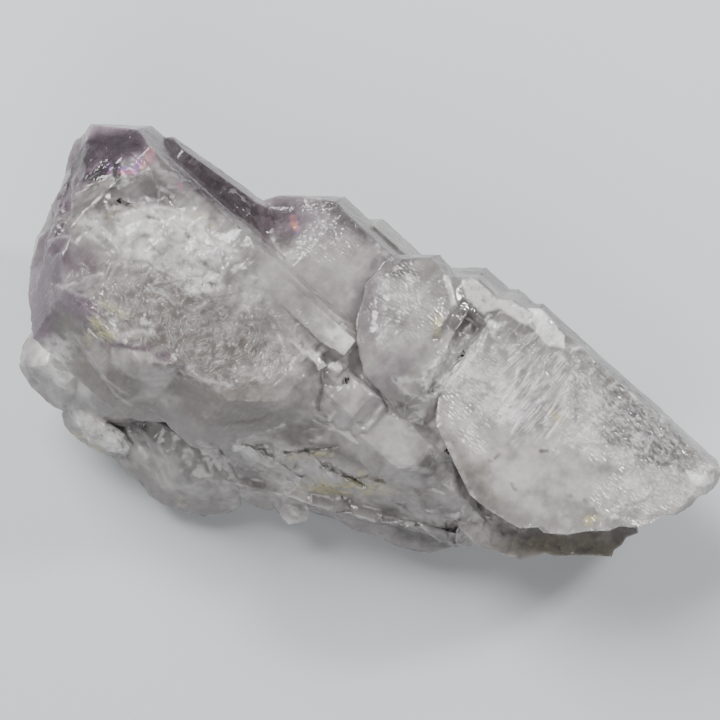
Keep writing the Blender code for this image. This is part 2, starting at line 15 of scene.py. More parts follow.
import bmesh
import bpy
import numpy as np
from mathutils import Matrix, Vector, noise
from mathutils.bvhtree import BVHTree


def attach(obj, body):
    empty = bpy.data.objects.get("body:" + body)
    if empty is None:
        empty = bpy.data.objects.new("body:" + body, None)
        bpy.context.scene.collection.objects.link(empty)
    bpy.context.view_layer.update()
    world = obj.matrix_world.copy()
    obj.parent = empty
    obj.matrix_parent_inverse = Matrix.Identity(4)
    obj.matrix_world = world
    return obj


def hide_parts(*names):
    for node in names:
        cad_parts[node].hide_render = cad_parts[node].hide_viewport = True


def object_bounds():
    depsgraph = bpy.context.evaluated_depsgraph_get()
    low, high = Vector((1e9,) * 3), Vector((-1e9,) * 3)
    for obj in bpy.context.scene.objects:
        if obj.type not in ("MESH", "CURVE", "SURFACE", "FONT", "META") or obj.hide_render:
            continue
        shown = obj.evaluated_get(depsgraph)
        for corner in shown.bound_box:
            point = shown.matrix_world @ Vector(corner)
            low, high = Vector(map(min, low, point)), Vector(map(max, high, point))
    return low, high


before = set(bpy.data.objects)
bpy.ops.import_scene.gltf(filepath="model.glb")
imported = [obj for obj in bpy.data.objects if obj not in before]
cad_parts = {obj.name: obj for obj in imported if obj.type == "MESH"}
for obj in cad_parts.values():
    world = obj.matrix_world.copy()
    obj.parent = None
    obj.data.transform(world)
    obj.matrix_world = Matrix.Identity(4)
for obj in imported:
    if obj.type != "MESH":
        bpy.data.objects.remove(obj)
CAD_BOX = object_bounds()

NODE = "cathedral_amethyst"
BODY = "root"
MM = 0.001
FAR_MM = 1e8
FLOW = "flow"
Socket = bpy.types.NodeSocket
Size = tuple[float, float, float]

log = logging.getLogger("cathedral_amethyst")


def linear(code: str) -> tuple[float, float, float, float]:
    """Turns an sRGB colour of six hex digits into linear light, with an alpha of 1."""
    shares = [int(code[index:index + 2], 16) / 255.0 for index in (0, 2, 4)]
    light = [share / 12.92 if share <= 0.04045 else ((share + 0.055) / 1.055) ** 2.4 for share in shares]
    return (*light, 1.0)


def smooth_step(value: np.ndarray, low: float, high: float) -> np.ndarray:
    """Rises smoothly from 0 at low to 1 at high."""
    share = np.clip((value - low) / (high - low), 0.0, 1.0)
    return share * share * (3.0 - 2.0 * share)


def pixels(path: str) -> list[np.ndarray]:
    """Reads a path's pixels, which are written as "across,down across,down"."""
    return [np.array([float(part) for part in spot.split(",")]) for spot in path.split()]


@dataclass(frozen=True)
class Picture:
    """The photograph's view: where its eye stands, and the line that each pixel looks along."""

    side_px: int = 720
    px_per_mm: float = 5.0
    eye_distance: float = 0.4
    lean: float = math.radians(12.0)
    aim: Size = (-0.00125, -0.00375, 0.0252)
    sensor_mm: float = 36.0

    @property
    def axes(self) -> Matrix:
        """The directions across, up and out to the eye, as the columns of a matrix."""
        return Matrix.Rotation(self.lean, 3, "X")

    @property
    def eye(self) -> Vector:
        """Where the eye stands."""
        return Vector(self.aim) + self.axes.col[2] * self.eye_distance

    def through(self, px: float, py: float) -> Vector:
        """Gives the point of the picture plane that a pixel shows, in metres."""
        across = (px - self.side_px / 2) / self.px_per_mm * MM
        up = (self.side_px / 2 - py) / self.px_per_mm * MM
        return Vector(self.aim) + self.axes @ Vector((across, up, 0.0))

    def place(self, px: float, py: float, out_mm: float) -> Vector:
        """Gives the place behind a pixel that is so far out of the picture plane, in metres."""
        nearer = 1.0 - out_mm * MM / self.eye_distance
        return self.eye + (self.through(px, py) - self.eye) * nearer

    def spots(self, points: np.ndarray) -> np.ndarray:
        """Gives where the photograph shows each point.

        Args:
            points: Places in metres, one to a row.

        Returns:
            Pixels across and down, and millimetres out of the picture plane, one point to a row.
        """
        rows = np.array(self.axes.transposed())
        local = (points - np.array(self.eye)) @ rows.T
        scale = self.eye_distance / -local[:, 2] / MM * self.px_per_mm
        across = self.side_px / 2 + local[:, 0] * scale
        down = self.side_px / 2 - local[:, 1] * scale
        return np.stack([across, down, (self.eye_distance + local[:, 2]) / MM], axis=1)

    def add_camera(self) -> None:
        """Adds the camera that sees what the photograph sees, and makes it the scene's own."""
        plane = self.side_px / self.px_per_mm * MM
        bpy.ops.object.camera_add()
        camera = bpy.context.object
        camera.name = "picture_camera"
        camera.data.sensor_width = self.sensor_mm
        camera.data.lens = self.sensor_mm * self.eye_distance / plane
        camera.matrix_world = Matrix.Translation(self.eye) @ self.axes.to_4x4()
        bpy.context.scene.camera = camera


@dataclass(frozen=True)
class Lattice:
    """The quartz's own directions, which striations and steps follow."""

    picture: Picture
    axis_angle: float = math.radians(138.0)

    @property
    def headward(self) -> Vector:
        """Along the crystals' long axis, towards the head."""
        return self.picture.axes @ Vector((math.cos(self.axis_angle), math.sin(self.axis_angle), 0.0))

    @property
    def sideward(self) -> Vector:
        """Across the crystals, in the plane of the picture."""
        return self.picture.axes @ Vector((math.sin(self.axis_angle), -math.cos(self.axis_angle), 0.0))

    @property
    def out(self) -> Vector:
        """Towards the eye."""
        return self.picture.axes.col[2].copy()

    def of(self, points: np.ndarray) -> np.ndarray:
        """Gives points, in metres, as millimetres tailward, sideward and out, one to a row."""
        rows = np.array([-self.headward, self.sideward, self.out])
        return (points - np.array(self.picture.aim)) @ rows.T / MM


class Skin(Enum):
    """The kinds of surface that the specimen shows, and its painted shade, highlights and glints; each is a
    mask on the mesh.
    """

    CLEAR = "clear"
    MILK = "milk"
    LILAC = "lilac"
    TAUPE = "taupe"
    VEIL_AND_PAINTED_GLINT = "veil_and_painted_glint"
    FIBRE = "fibre"
    FEATHER = "feather"
    STRIA = "stria"
    GRAIN = "grain"
    CHIP = "chip"
    STAIN = "stain"
    SOOT = "soot"
    FACETS_AND_PAINTED_GLINT = "painted_glint"
    EDGE = "edge"
    RAINBOW = "rainbow"
    PAINTED_HIGHLIGHT = "painted_highlight"
    PAINTED_SHADE = "painted_shade"


TINTS = (Skin.CLEAR, Skin.MILK, Skin.LILAC, Skin.TAUPE, Skin.PAINTED_SHADE)


@dataclass(frozen=True)
class Zone:
    """An egg-shaped stretch of one kind of skin, centred on the surface behind a pixel.

    long_mm and short_mm are its half lengths on the picture, turn_deg turns the long one from
    level, and deep_mm is its half depth. share is how strong the skin is in its middle. It fades
    out over border, a share of the way out, which fray makes uneven.
    """

    px: float
    py: float
    long_mm: float
    short_mm: float
    turn_deg: float = 0.0
    share: float = 1.0
    deep_mm: float = 8.0
    fray: float = 0.3
    border: tuple[float, float] = (0.6, 1.2)

    def weights(self, points: np.ndarray, centre: Vector, picture: Picture, wander: np.ndarray) -> np.ndarray:
        """Works out how much of the skin each point has.

        Args:
            points: Places in metres, one to a row.
            centre: The zone's middle, on the surface.
            picture: The view that the zone is placed in.
            wander: A noise between about -1 and 1 for each point, which frays the zone's border.

        Returns:
            A share for each point, from 0 to this zone's share.
        """
        turn = Matrix.Rotation(math.radians(self.turn_deg), 3, "Z")
        rows = np.array((picture.axes @ turn).transposed())
        local = (points - np.array(centre)) @ rows.T / MM
        reach = np.linalg.norm(local / np.array((self.long_mm, self.short_mm, self.deep_mm)), axis=1)
        return self.share * (1.0 - smooth_step(reach + self.fray * wander, *self.border))


def zones(*rows: tuple[float, ...]) -> tuple[Zone, ...]:
    """Makes zones from rows that give their measures in the order of Zone's fields."""
    return tuple(Zone(*row) for row in rows)


@dataclass(frozen=True)
class Stroke:
    """A thin mark along a path of the picture's pixels, which may also be a ledge.

    half_mm is the mark's half width, and share is how strong it is. The skin stands rise_mm up on
    the left of the path, as one follows it, and sinks back over fall_mm. A filled stroke covers
    what its path closes in, and half_mm is then how soft its border is.
    """

    path: str
    half_mm: float
    share: float
    rise_mm: float = 0.0
    fall_mm: float = 3.0
    deep_mm: float = 4.0
    filled: bool = False
    lip_mm: float = 0.4

    @property
    def line(self) -> list[np.ndarray]:
        """The path's pixels; a filled stroke's path ends where it starts."""
        spots = pixels(self.path)
        return spots + spots[:1] if self.filled else spots

    def measure(self, spots: np.ndarray, depths: Iterable[float], px_per_mm: float) -> tuple[np.ndarray, ...]:
        """Finds where each point lies beside the stroke.

        Args:
            spots: Each point's pixel and its distance out of the picture plane, one to a row.
            depths: How far out of the picture plane the surface is at each place of the path, in mm.
            px_per_mm: The photograph's scale.

        Returns:
            Each point's distance from the stroke in mm, over 0 on its left, and how far along it is.
        """
        nearest = np.full(len(spots), 10 * FAR_MM)
        along = np.zeros(len(spots))
        path = self.line
        for index, (start, end) in enumerate(zip(path, path[1:])):
            step = end - start
            offset = spots[:, :2] - start
            share = np.clip(offset @ step / (step @ step), 0.0, 1.0)
            gap = np.linalg.norm(offset - share[:, None] * step, axis=1) / px_per_mm
            depth = depths[index] + share * (depths[index + 1] - depths[index])
            gap[np.abs(spots[:, 2] - depth) > self.deep_mm] = FAR_MM
            side = np.where(offset[:, 0] * step[1] - offset[:, 1] * step[0] >= 0.0, 1.0, -1.0)
            closer = gap < np.abs(nearest)
            nearest[closer] = (gap * side)[closer]
            along[closer] = ((index + share) / (len(path) - 1))[closer]
        if self.filled:
            nearest = np.abs(nearest) * np.where(self.inside(spots), -1.0, 1.0)
            nearest[np.abs(nearest) > FAR_MM / 10] = FAR_MM
        return nearest, along

    def inside(self, spots: np.ndarray) -> np.ndarray:
        """Tells which points the closed path goes round, by how often it passes above each."""
        within = np.zeros(len(spots), dtype=bool)
        for start, end in zip(self.line, self.line[1:]):
            if start[0] == end[0]:
                continue
            spans = (spots[:, 0] >= min(start[0], end[0])) & (spots[:, 0] < max(start[0], end[0]))
            level = start[1] + (spots[:, 0] - start[0]) * (end[1] - start[1]) / (end[0] - start[0])
            within ^= spans & (spots[:, 1] < level)
        return within

    def mark(self, nearest: np.ndarray, fray: np.ndarray, fade: np.ndarray) -> np.ndarray:
        """Gives how strong the mark is at each distance, with a frayed border, fading in and out."""
        if self.filled:
            return self.share * (1.0 - smooth_step(nearest / self.half_mm + 0.4 * fray, -0.5, 0.5))
        frayed = np.abs(nearest) / self.half_mm + 0.5 * fray
        strength = np.clip(0.8 + 0.9 * fade, 0.2, 1.0)
        return self.share * strength * (1.0 - smooth_step(frayed, 0.6, 1.5))

    def ledge(self, nearest: np.ndarray, along: np.ndarray) -> np.ndarray:
        """Gives how far the ledge lifts each point, in mm; a long one tapers at both ends."""
        if self.filled:
            return self.rise_mm * (1.0 - smooth_step(nearest, -self.lip_mm, self.lip_mm))
        ends = smooth_step(along, 0.0, 0.12) * (1.0 - smooth_step(along, 0.88, 1.0))
        sunk = np.exp(-np.maximum(nearest, 0.0) / self.fall_mm)
        return self.rise_mm * ends * (smooth_step(nearest, -self.lip_mm, self.lip_mm) * sunk)


def strokes(*rows: tuple[float | str, ...], **rest: float | bool) -> tuple[Stroke, ...]:
    """Makes the strokes of a kind of skin.

    Args:
        *rows: half_mm and share, for a ledge also rise_mm and fall_mm, and then the paths.
        **rest: Other fields of Stroke, the same for all the rows.

    Returns:
        One stroke for each path.
    """
    made = []
    for row in rows:
        sizes = [entry for entry in row if not isinstance(entry, str)]
        made += [Stroke(path, *sizes, **rest) for path in row[len(sizes):]]
    return tuple(made)


WINDOWS = ("88,180 92,171 98,165 105,165 108,175 100,180", "112,176 112,163 120,162 121,176")

# The marks, ledges and outlined patches of each kind of skin.
STROKES: dict[Skin, tuple[Stroke, ...]] = {
    # Most of these are white veils, lines and ledges; the short strong marks at 181,249, 188,260, 238,447,
    # 329,418, 376,247 and 384,253 are painted glints.
    Skin.VEIL_AND_PAINTED_GLINT: strokes(
        (0.5, 0.9, 0.5, "120,186 133,179 143,174 150,170"), (0.3, 0.4, -0.3, "150,171 157,184 160,196"),
        (0.4, 0.9, -0.5, "108,208 118,206 129,202"), (0.35, 0.7, "160,187 169,191 173,196"),
        (0.5, 0.7, -0.9, 5,
         "110,219 122,214 140,208 158,204 175,208 190,217 205,227 216,241 222,256 224,272"),
        (0.5, 0.6, 0.7, 4, "82,226 96,231 108,241 118,253 131,262 148,261 158,271 176,279 200,286"),
        (0.5, 1, 0.6, "155,252 162,243 169,235 176,231"),
        (0.45, 1, 0.5, 2.5, "181,249 185,258 191,255 198,246"), (0.7, 1, 0.4, 2, "188,260 196,260 206,259"),
        (0.4, 0.5, -0.5, "190,228 200,238 207,250", "464,507 478,513 494,527 491,541 474,543"),
        (0.3, 0.5, -0.6, "118,236 134,223 155,219 176,223 193,235 205,252"),
        (0.3, 0.4, 0.5, "126,248 140,236 158,232"),
        (0.3, 0.6, -0.5, 2.5, "176,246 190,238 204,240 214,252"),
        (0.3, 0.4, -0.4, 2.5, "138,256 150,246 150,234"),
        (0.35, 0.7, 0.4, 2.5, "196,268 206,262 216,264 222,274"),
        (0.5, 0.8, 0.3, 2, "205,284 214,280 222,284", "399,468 427,468 433,458 430,446"),
        (0.3, 0.6, 0.3, 2, "155,281 164,285 176,283 186,286", "630,402 650,404 664,414"),
        (0.3, 0.5, 0.3, 2, "158,292 168,297 178,296", "574,398 560,418 546,440 552,450 564,436",
         "590,426 610,422 632,428", "640,424 662,432 680,446", "650,460 672,462 690,470"),
        (0.3, 0.5, -0.4, 2.5, "84,233 96,238 104,246 110,256"),
        (0.3, 0.6, 0.4, 2.5, "180,222 194,222 206,230"),
        (0.4, 0.4, -0.4, "125,232 138,227 150,229 160,236"),
        (0.3, 0.5, -0.5, "48,241 58,236 69,237 77,244"),
        (0.3, 0.45, -0.6, "52,284 66,286 78,281 90,277 104,273"),
        (0.25, 0.4, 0.4, "62,288 76,293 90,299 102,303"),
        (0.25, 0.6, 0.3, 2, "112,322 128,320 142,321 150,322"), (0.6, 1, 0.3, 2, "143,321 147,322"),
        (0.35, 0.4, -0.7, 5, "113,350 128,350 145,352 153,356 161,362 174,368"),
        (0.6, 0.35, -0.4, "120,334 135,330 152,332"),
        (0.25, 0.5, 0.3, 2, "186,290 204,300 209,300 194,310"), (0.25, 0.7, "212,363 224,361"),
        (0.25, 0.5, "217,346 225,342"), (0.3, 0.8, "196,351 200,350"), (0.25, 0.4, "232,382 252,382"),
        (0.4, 0.45, 0.5, 4, "180,371 200,379 230,386 268,383 284,372"),
        (0.4, 0.4, -0.5, 4, "274,326 283,345 288,360 285,374"),
        (0.25, 0.3, 0.5, 4, "62,332 80,346 98,370 116,394 138,410"),
        (0.25, 0.2, 0.35, "76,334 93,356 108,378 128,394"),
        (0.45, 0.7, 0.6, "238,440 254,434 268,431 284,424"),
        (0.5, 0.7, 0.6, "198,443 212,446 220,449 224,462 234,478"),
        (1, 1, 0.4, 2, "238,447 246,447 252,452"), (0.5, 0.7, 0.4, "228,459 240,466 254,469"),
        (0.4, 0.8, 0.2, 2, "273,239 277,248 282,258"),
        (0.4, 0.8, "250,278 256,277", "384,283 389,289", "385,297 393,296"),
        (0.35, 0.8, "243,246 245,247", "572,350 584,346 590,349"), (0.3, 0.7, "337,388 349,382"),
        (0.25, 0.6, "319,350 323,358 320,364"),
        (0.2, 0.5, 0.4, 2, "313,402 315,412 322,420 330,421 336,412"), (0.3, 1, "328,400 330,401"),
        (0.5, 0.8, "329,418 333,415", "612,517 624,516"),
        (0.4, 0.9, -0.4, 2, "355,426 365,428 373,420 383,405"),
        (0.6, 1, "376,247 379,250", "384,253 391,258"),
        (1.2, 1, 0.5, 2.5, "426,385 428,373 437,366 447,358 451,346"),
        (0.9, 1, "409,278 413,281", "48,352 55,356"), (0.4, 0.9, "463,333 478,320"),
        (0.8, 0.7, "401,380 408,380", "614,483 636,481"),
        (0.5, 0.6, "404,307 399,314", "506,521 522,530 545,531"),
        (0.35, 0.5, 0.8, "489,314 487,327 480,346 462,366 440,390 427,396"),
        (0.7, 0.9, 0.3, 2, "488,322 493,336 500,326"), (0.9, 0.9, "495,350 503,345"),
        (1, 0.9, "504,386 511,388", "690,474 702,482 712,484"),
        (0.6, 0.9, 0.5, 4, "576,432 582,444 597,444 614,452"),
        (0.5, 0.7, "620,378 609,391 592,401", "140,448 146,456"), (0.8, 1, "656,414 666,420"),
        (0.5, 0.6, 0.4, "622,506 642,501 655,494"),
        (0.25, 0.35, 0.3, 1.5, "560,352 554,376 542,398 520,418 508,440",
         "548,356 540,378 524,400 506,420", "534,362 524,384 508,404 496,416",
         "574,352 570,378 556,402 540,428", "520,366 512,386 500,400"),
        (0.3, 0.4, -0.4, "578,362 574,396 576,430"),
        (0.35, 0.6, 0.3, 2, "586,412 604,408 620,412", "606,438 630,436 652,444"),
        (0.5, 0.7, 0.3, 2, "455,372 468,362 484,366"), (0.4, 0.6, 0.3, 2, "458,384 472,378 486,386"),
        (0.4, 0.5, 0.3, 2, "470,398 486,394 500,402", "447,522 453,530 449,538"),
        (0.5, 0.5, 0.4, "442,432 450,447 457,468 474,498"),
        (0.4, 0.6, 0.5, "396,521 420,526 440,541 456,546 466,541"),
        (0.3, 0.4, 0.3, 2, "472,520 482,524 486,532"), (0.6, 0.9, "288,452 296,452"),
        (0.7, 0.8, 0.4, 2, "298,480 290,490 278,494"), (1, 1, "80,424 84,427"), (1.1, 1, "110,449 124,446"),
    ),
    # Painted highlights on the facets that catch the light: the tail's white facets, the head's right facet
    # and the tip.
    Skin.PAINTED_HIGHLIGHT: strokes(
        (0.6, 0.7, 0.3, "461,280 475,279 497,299 512,301 531,314 533,328 518,322 500,309 483,314 466,299"),
        (0.5, 0.9, 0.4, "527,309 541,309 553,322 564,336 565,349 546,346 534,330"),
        (0.3, 0.6, 0.3, "444,275 449,276 454,292 457,306 451,306 447,290", "486,318 491,338 502,326"),
        (2.4, 0.7, "322,330 340,348 346,352 356,342 352,336 338,322"),
        (0.5, 0.65, 0.3, "291,341 305,350 320,352 322,359 317,364 303,354"),
        (0.5, 0.7, 0.3, "329,367 338,361 345,366 340,373"),
        (0.4, 1, "686,470 700,476 714,474 714,482 704,486 690,480"), filled=True,
    ),
    Skin.MILK: strokes(
        (1.2, 0.7, 0.15,
         "112,349 130,350 146,352 154,356 162,362 176,369 178,377 166,387 150,386 138,377 124,371 113,361"),
        (0.9, 0.5, "118,333 136,328 152,331 140,337"), filled=True,
    ),
    # Painted shade: dark lines and patches where the clear quartz looks dark, on the windows, the head's top
    # facet, the left rim, the steep faces along the upper right edge, and along the lower edges.
    Skin.PAINTED_SHADE: (
        *strokes(
            (1, 0.5, "152,136 176,152 205,178 232,205 236,216", "398,534 412,538 432,548"),
            (0.5, 0.6, "180,165 200,178 218,194", "183,250 187,254", "440,546 450,544"),
            (0.7, 0.7, "206,196 216,206 232,219"), (0.4, 0.4, "210,165 232,182 246,196"),
            (0.5, 0.5, "120,190 125,197", "70,208 58,212 48,216", "88,213 95,217", "110,212 122,210",
             "149,262 155,266 157,270", "212,452 222,462 232,478", "446,268 470,272 486,274"),
            (0.4, 0.6, "149,217 157,214 165,217", "152,251 159,242 166,234"),
            (0.5, 0.35, "452,316 443,330 436,338"), (0.7, 0.25, "481,322 474,336 462,352"),
            (0.7, 0.3, "426,393 434,389"), (0.4, 0.5, "456,331 466,322 472,312"),
            (0.6, 0.35, "354,412 364,400"),
            (0.8, 0.5, "375,262 372,276 367,290 366,308", "434,256 416,256 402,258"),
            (0.8, 0.6, "106,420 112,427 124,428 142,432"), (0.6, 0.5, "232,437 240,440"),
            (1.1, 0.4, "410,418 428,434 446,452 458,474 470,494"), (0.7, 0.5, "500,533 535,535"),
        ),
        *strokes(
            (1.4, 0.55, "70,202 100,184 140,180 162,178 180,194 172,204 140,203 112,210 84,220 64,216"),
            (2.6, 0.55, "604,398 632,400 664,424 684,452 676,466 650,462 620,446 600,424"),
            (0.35, 0.9, *WINDOWS), filled=True,
        ),
        *strokes(
            (1, 0.75, "146,131 178,142 222,172 252,200 240,220 213,206 180,180 158,164"),
            (1.2, 0.15, "600,362 630,385 660,412 690,444 686,452 650,420 618,392 596,372"), deep_mm=12,
            filled=True,
        ),
        *strokes(
            (1.6, 0.6, "35,262 40,238 48,222 62,216 74,236 68,262 58,288 44,300 34,290"),
            (1.4, 0.4, "36,300 48,292 60,318 72,338 62,340 44,326"),
            (1.4, 0.75, "84,144 98,150 90,166 84,184 70,198 58,212 54,210 64,184 73,160"), deep_mm=14,
            filled=True,
        ),
    ),
    Skin.LILAC: (
        *strokes(
            (0.5, 0.6, "542,402 522,413 504,430"), (1, 0.8, "150,145 150,160"),
            (1, 0.7, 0.4, "106,343 130,346 152,351 172,360 186,369"),
            (0.8, 0.7, -0.3, 2, "238,206 254,220 262,232 266,244"),
        ),
        *strokes(
            (0.5, 0.8, "62,290 76,295 92,302 95,312 84,316 68,306"), filled=True,
        ),
    ),
    Skin.SOOT: strokes(
        (0.3, 0.8, -0.2, 1.5, "321,468 332,470 344,475"),
        (0.4, 1, -0.3, 1.5, "354,480 366,478 376,481 384,482"),
        (0.3, 0.5, "376,475 382,467", "512,484 513,488 516,490", "566,496 571,496"),
        (0.35, 0.7, "284,452 291,455"), (0.4, 0.6, "303,452 312,454 316,450"),
        (0.3, 0.6, "318,449 331,448", "495,458 499,454", "489,461 492,461"), (0.35, 0.8, "541,451 547,451"),
        (0.35, 0.5, "585,500 592,500", "103,242 107,240"), (0.3, 0.7, "323,352 325,355"),
        (0.4, 0.5, "416,490 420,494"), (0.5, 0.5, "60,223 67,219"), (0.5, 0.45, "71,234 79,236"),
    ),
    Skin.CLEAR: (
        *strokes(
            (1.5, 1, "92,178 98,168 104,168"), (0.9, 1, "116,164 117,175"),
            (0.5, 0.8, -0.5, 2, "149,217 157,214 165,217 169,221"), (0.5, 0.7, "152,250 159,241 166,234"),
            (1.4, 0.9, "136,421 142,430"), (1, 0.5, "452,315 444,330 434,340", "425,391 434,388"),
            (1.2, 0.5, "480,322 474,335"), (1.1, 0.5, "352,412 366,398"),
            (1.4, 0.7, "400,410 418,425 437,437 450,462 468,492"), (1.2, 0.6, "500,527 530,534"),
        ),
        *strokes(
            (0.9, 0.6, -0.3,
             "452,312 463,299 478,306 488,319 485,333 476,348 461,364 453,362 457,346 463,334 452,330 "
             "440,342 434,340 443,326"), (0.35, 1, *WINDOWS),
            (0.6, 0.5, -0.2, "273,208 295,208 299,232 287,245 276,236"),
            (0.6, 0.7, "148,132 178,142 248,192 252,206 240,216 213,202 180,172 160,152"), filled=True,
        ),
    ),
    Skin.STAIN: strokes(
        (0.7, 0.7, "290,458 312,456 332,454"), (1.3, 0.8, "318,485 332,490 352,487"),
        (0.8, 0.7, "352,487 372,485 396,489"), (0.9, 1, "438,318 437,331"), (0.9, 0.8, "553,413 557,418"),
        (0.9, 0.7, "588,520 600,519"), (0.7, 0.6, "104,302 114,309 126,317"),
        (1, 0.8, "96,320 100,330 110,338"), (0.6, 0.7, "88,332 90,342"),
        (1, 0.25, "530,546 560,548 600,545"), (0.5, 0.6, "180,500 186,503"),
        (0.8, 0.4, "110,214 126,210 138,207"), (0.6, 0.4, "196,214 212,224"), (0.8, 0.6, "362,472 364,477"),
    ),
    # Painted iridescence: small rainbows, a reflection off thin cracks.
    Skin.RAINBOW: strokes(
        (0.6, 1, "293,217 294,223", "295,225 297,229"), (0.8, 0.9, "122,170 133,170 139,163"),
        (0.5, 0.5, "145,160 144,167"), (0.5, 0.7, "109,166 109,172"), (0.5, 0.25, "180,184 182,191"),
        (0.8, 0.5, "150,150 150,158"),
    ),
}


@dataclass(frozen=True)
class Seam:
    """A groove of the solid that is shut on the real piece, so that the skin bridges it.

    path runs down its middle in the picture's pixels, the whole faces start reach_px beside it,
    and left_mm is how deep the groove stays. Only skin up to deepest_mm under the faces rises.
    """

    path: str
    reach_px: float = 5.0
    left_mm: float = 0.3
    deepest_mm: float = 9.0
    past_ends: float = 0.1

    def lift(self, spots: np.ndarray, uneven: np.ndarray, level_at: Callable[..., float]) -> np.ndarray:
        """Works out how far each point of the groove has to rise.

        Args:
            spots: Each point's pixel and its distance out of the picture plane, one to a row.
            uneven: A noise for each point, which keeps the seam's floor rough.
            level_at: Tells how far out of the picture plane the solid is at a pixel, in mm.

        Returns:
            The rise towards the eye in mm, 0 for a point outside the groove.
        """
        rise = np.zeros(len(spots))
        path = pixels(self.path)
        for start, end in zip(path, path[1:]):
            step = end - start
            across = np.array((-step[1], step[0])) / np.linalg.norm(step) * self.reach_px
            share = (spots[:, :2] - start) @ step / (step @ step)
            side = (spots[:, :2] - start) @ across / self.reach_px**2
            ends = []
            for spot in (start, start + step):
                left, right = level_at(*(spot - across)), level_at(*(spot + across))
                ends.append(left + (side + 1.0) / 2.0 * (right - left))
            depth = self.left_mm * np.clip(0.8 + 1.2 * uneven, 0.1, 2.0)
            gap = ends[0] + share * (ends[1] - ends[0]) - depth - spots[:, 2]
            inside = (np.abs(side) < 1.0) & (np.abs(share - 0.5) < 0.5 + self.past_ends)
            inside &= (gap > 0.0) & (gap < self.deepest_mm)
            rise = np.where(inside, np.maximum(rise, gap), rise)
        return rise


SEAMS = (
    Seam("424,394 438,383 450,368 463,348", left_mm=0.4),
    Seam("278,451 292,449 310,447 330,445 349,443", 6.0, 0.2),
    Seam("318,459 330,466 344,474 368,488", 7.0),
    Seam("244,443 258,448 269,453 280,459 291,466 301,477"),
)


@dataclass(frozen=True)
class Lump:
    """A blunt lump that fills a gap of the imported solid, where the photograph shows quartz.

    Each corner is a pixel and how far out of the picture plane it lies, in mm.
    """

    corners: tuple[Size, ...]

    def add_to(self, piece: bpy.types.Object, picture: Picture) -> None:
        """Joins the lump to a piece in one closed skin.

        Args:
            piece: The object that takes the lump.
            picture: The view that the corners are placed in.
        """
        body = bmesh.new()
        corners = [body.verts.new(picture.place(*corner)) for corner in self.corners]
        hull = bmesh.ops.convex_hull(body, input=corners)
        bmesh.ops.delete(body, geom=hull["geom_interior"], context="VERTS")
        mesh = bpy.data.meshes.new("lump")
        body.to_mesh(mesh)
        body.free()
        lump = bpy.data.objects.new("lump", mesh)
        bpy.context.scene.collection.objects.link(lump)
        union = piece.modifiers.new("lump", "BOOLEAN")
        union.operation = "UNION"
        union.solver = "EXACT"
        union.object = lump
        bpy.ops.object.modifier_apply(modifier=union.name)
        bpy.data.objects.remove(lump)


KNOB_ROOT = Lump((
    (70, 384, -5.0), (82, 376, 1.0), (98, 388, 4.0), (122, 404, 4.5), (140, 416, 2.0), (146, 424, -3.5),
    (122, 426, -5.0), (98, 422, -5.0), (80, 412, -5.5), (66, 410, -7.5), (66, 400, -6.5), (70, 390, -14.0),
    (110, 396, -14.0), (140, 420, -14.0), (100, 418, -14.0), (72, 412, -14.0),
))


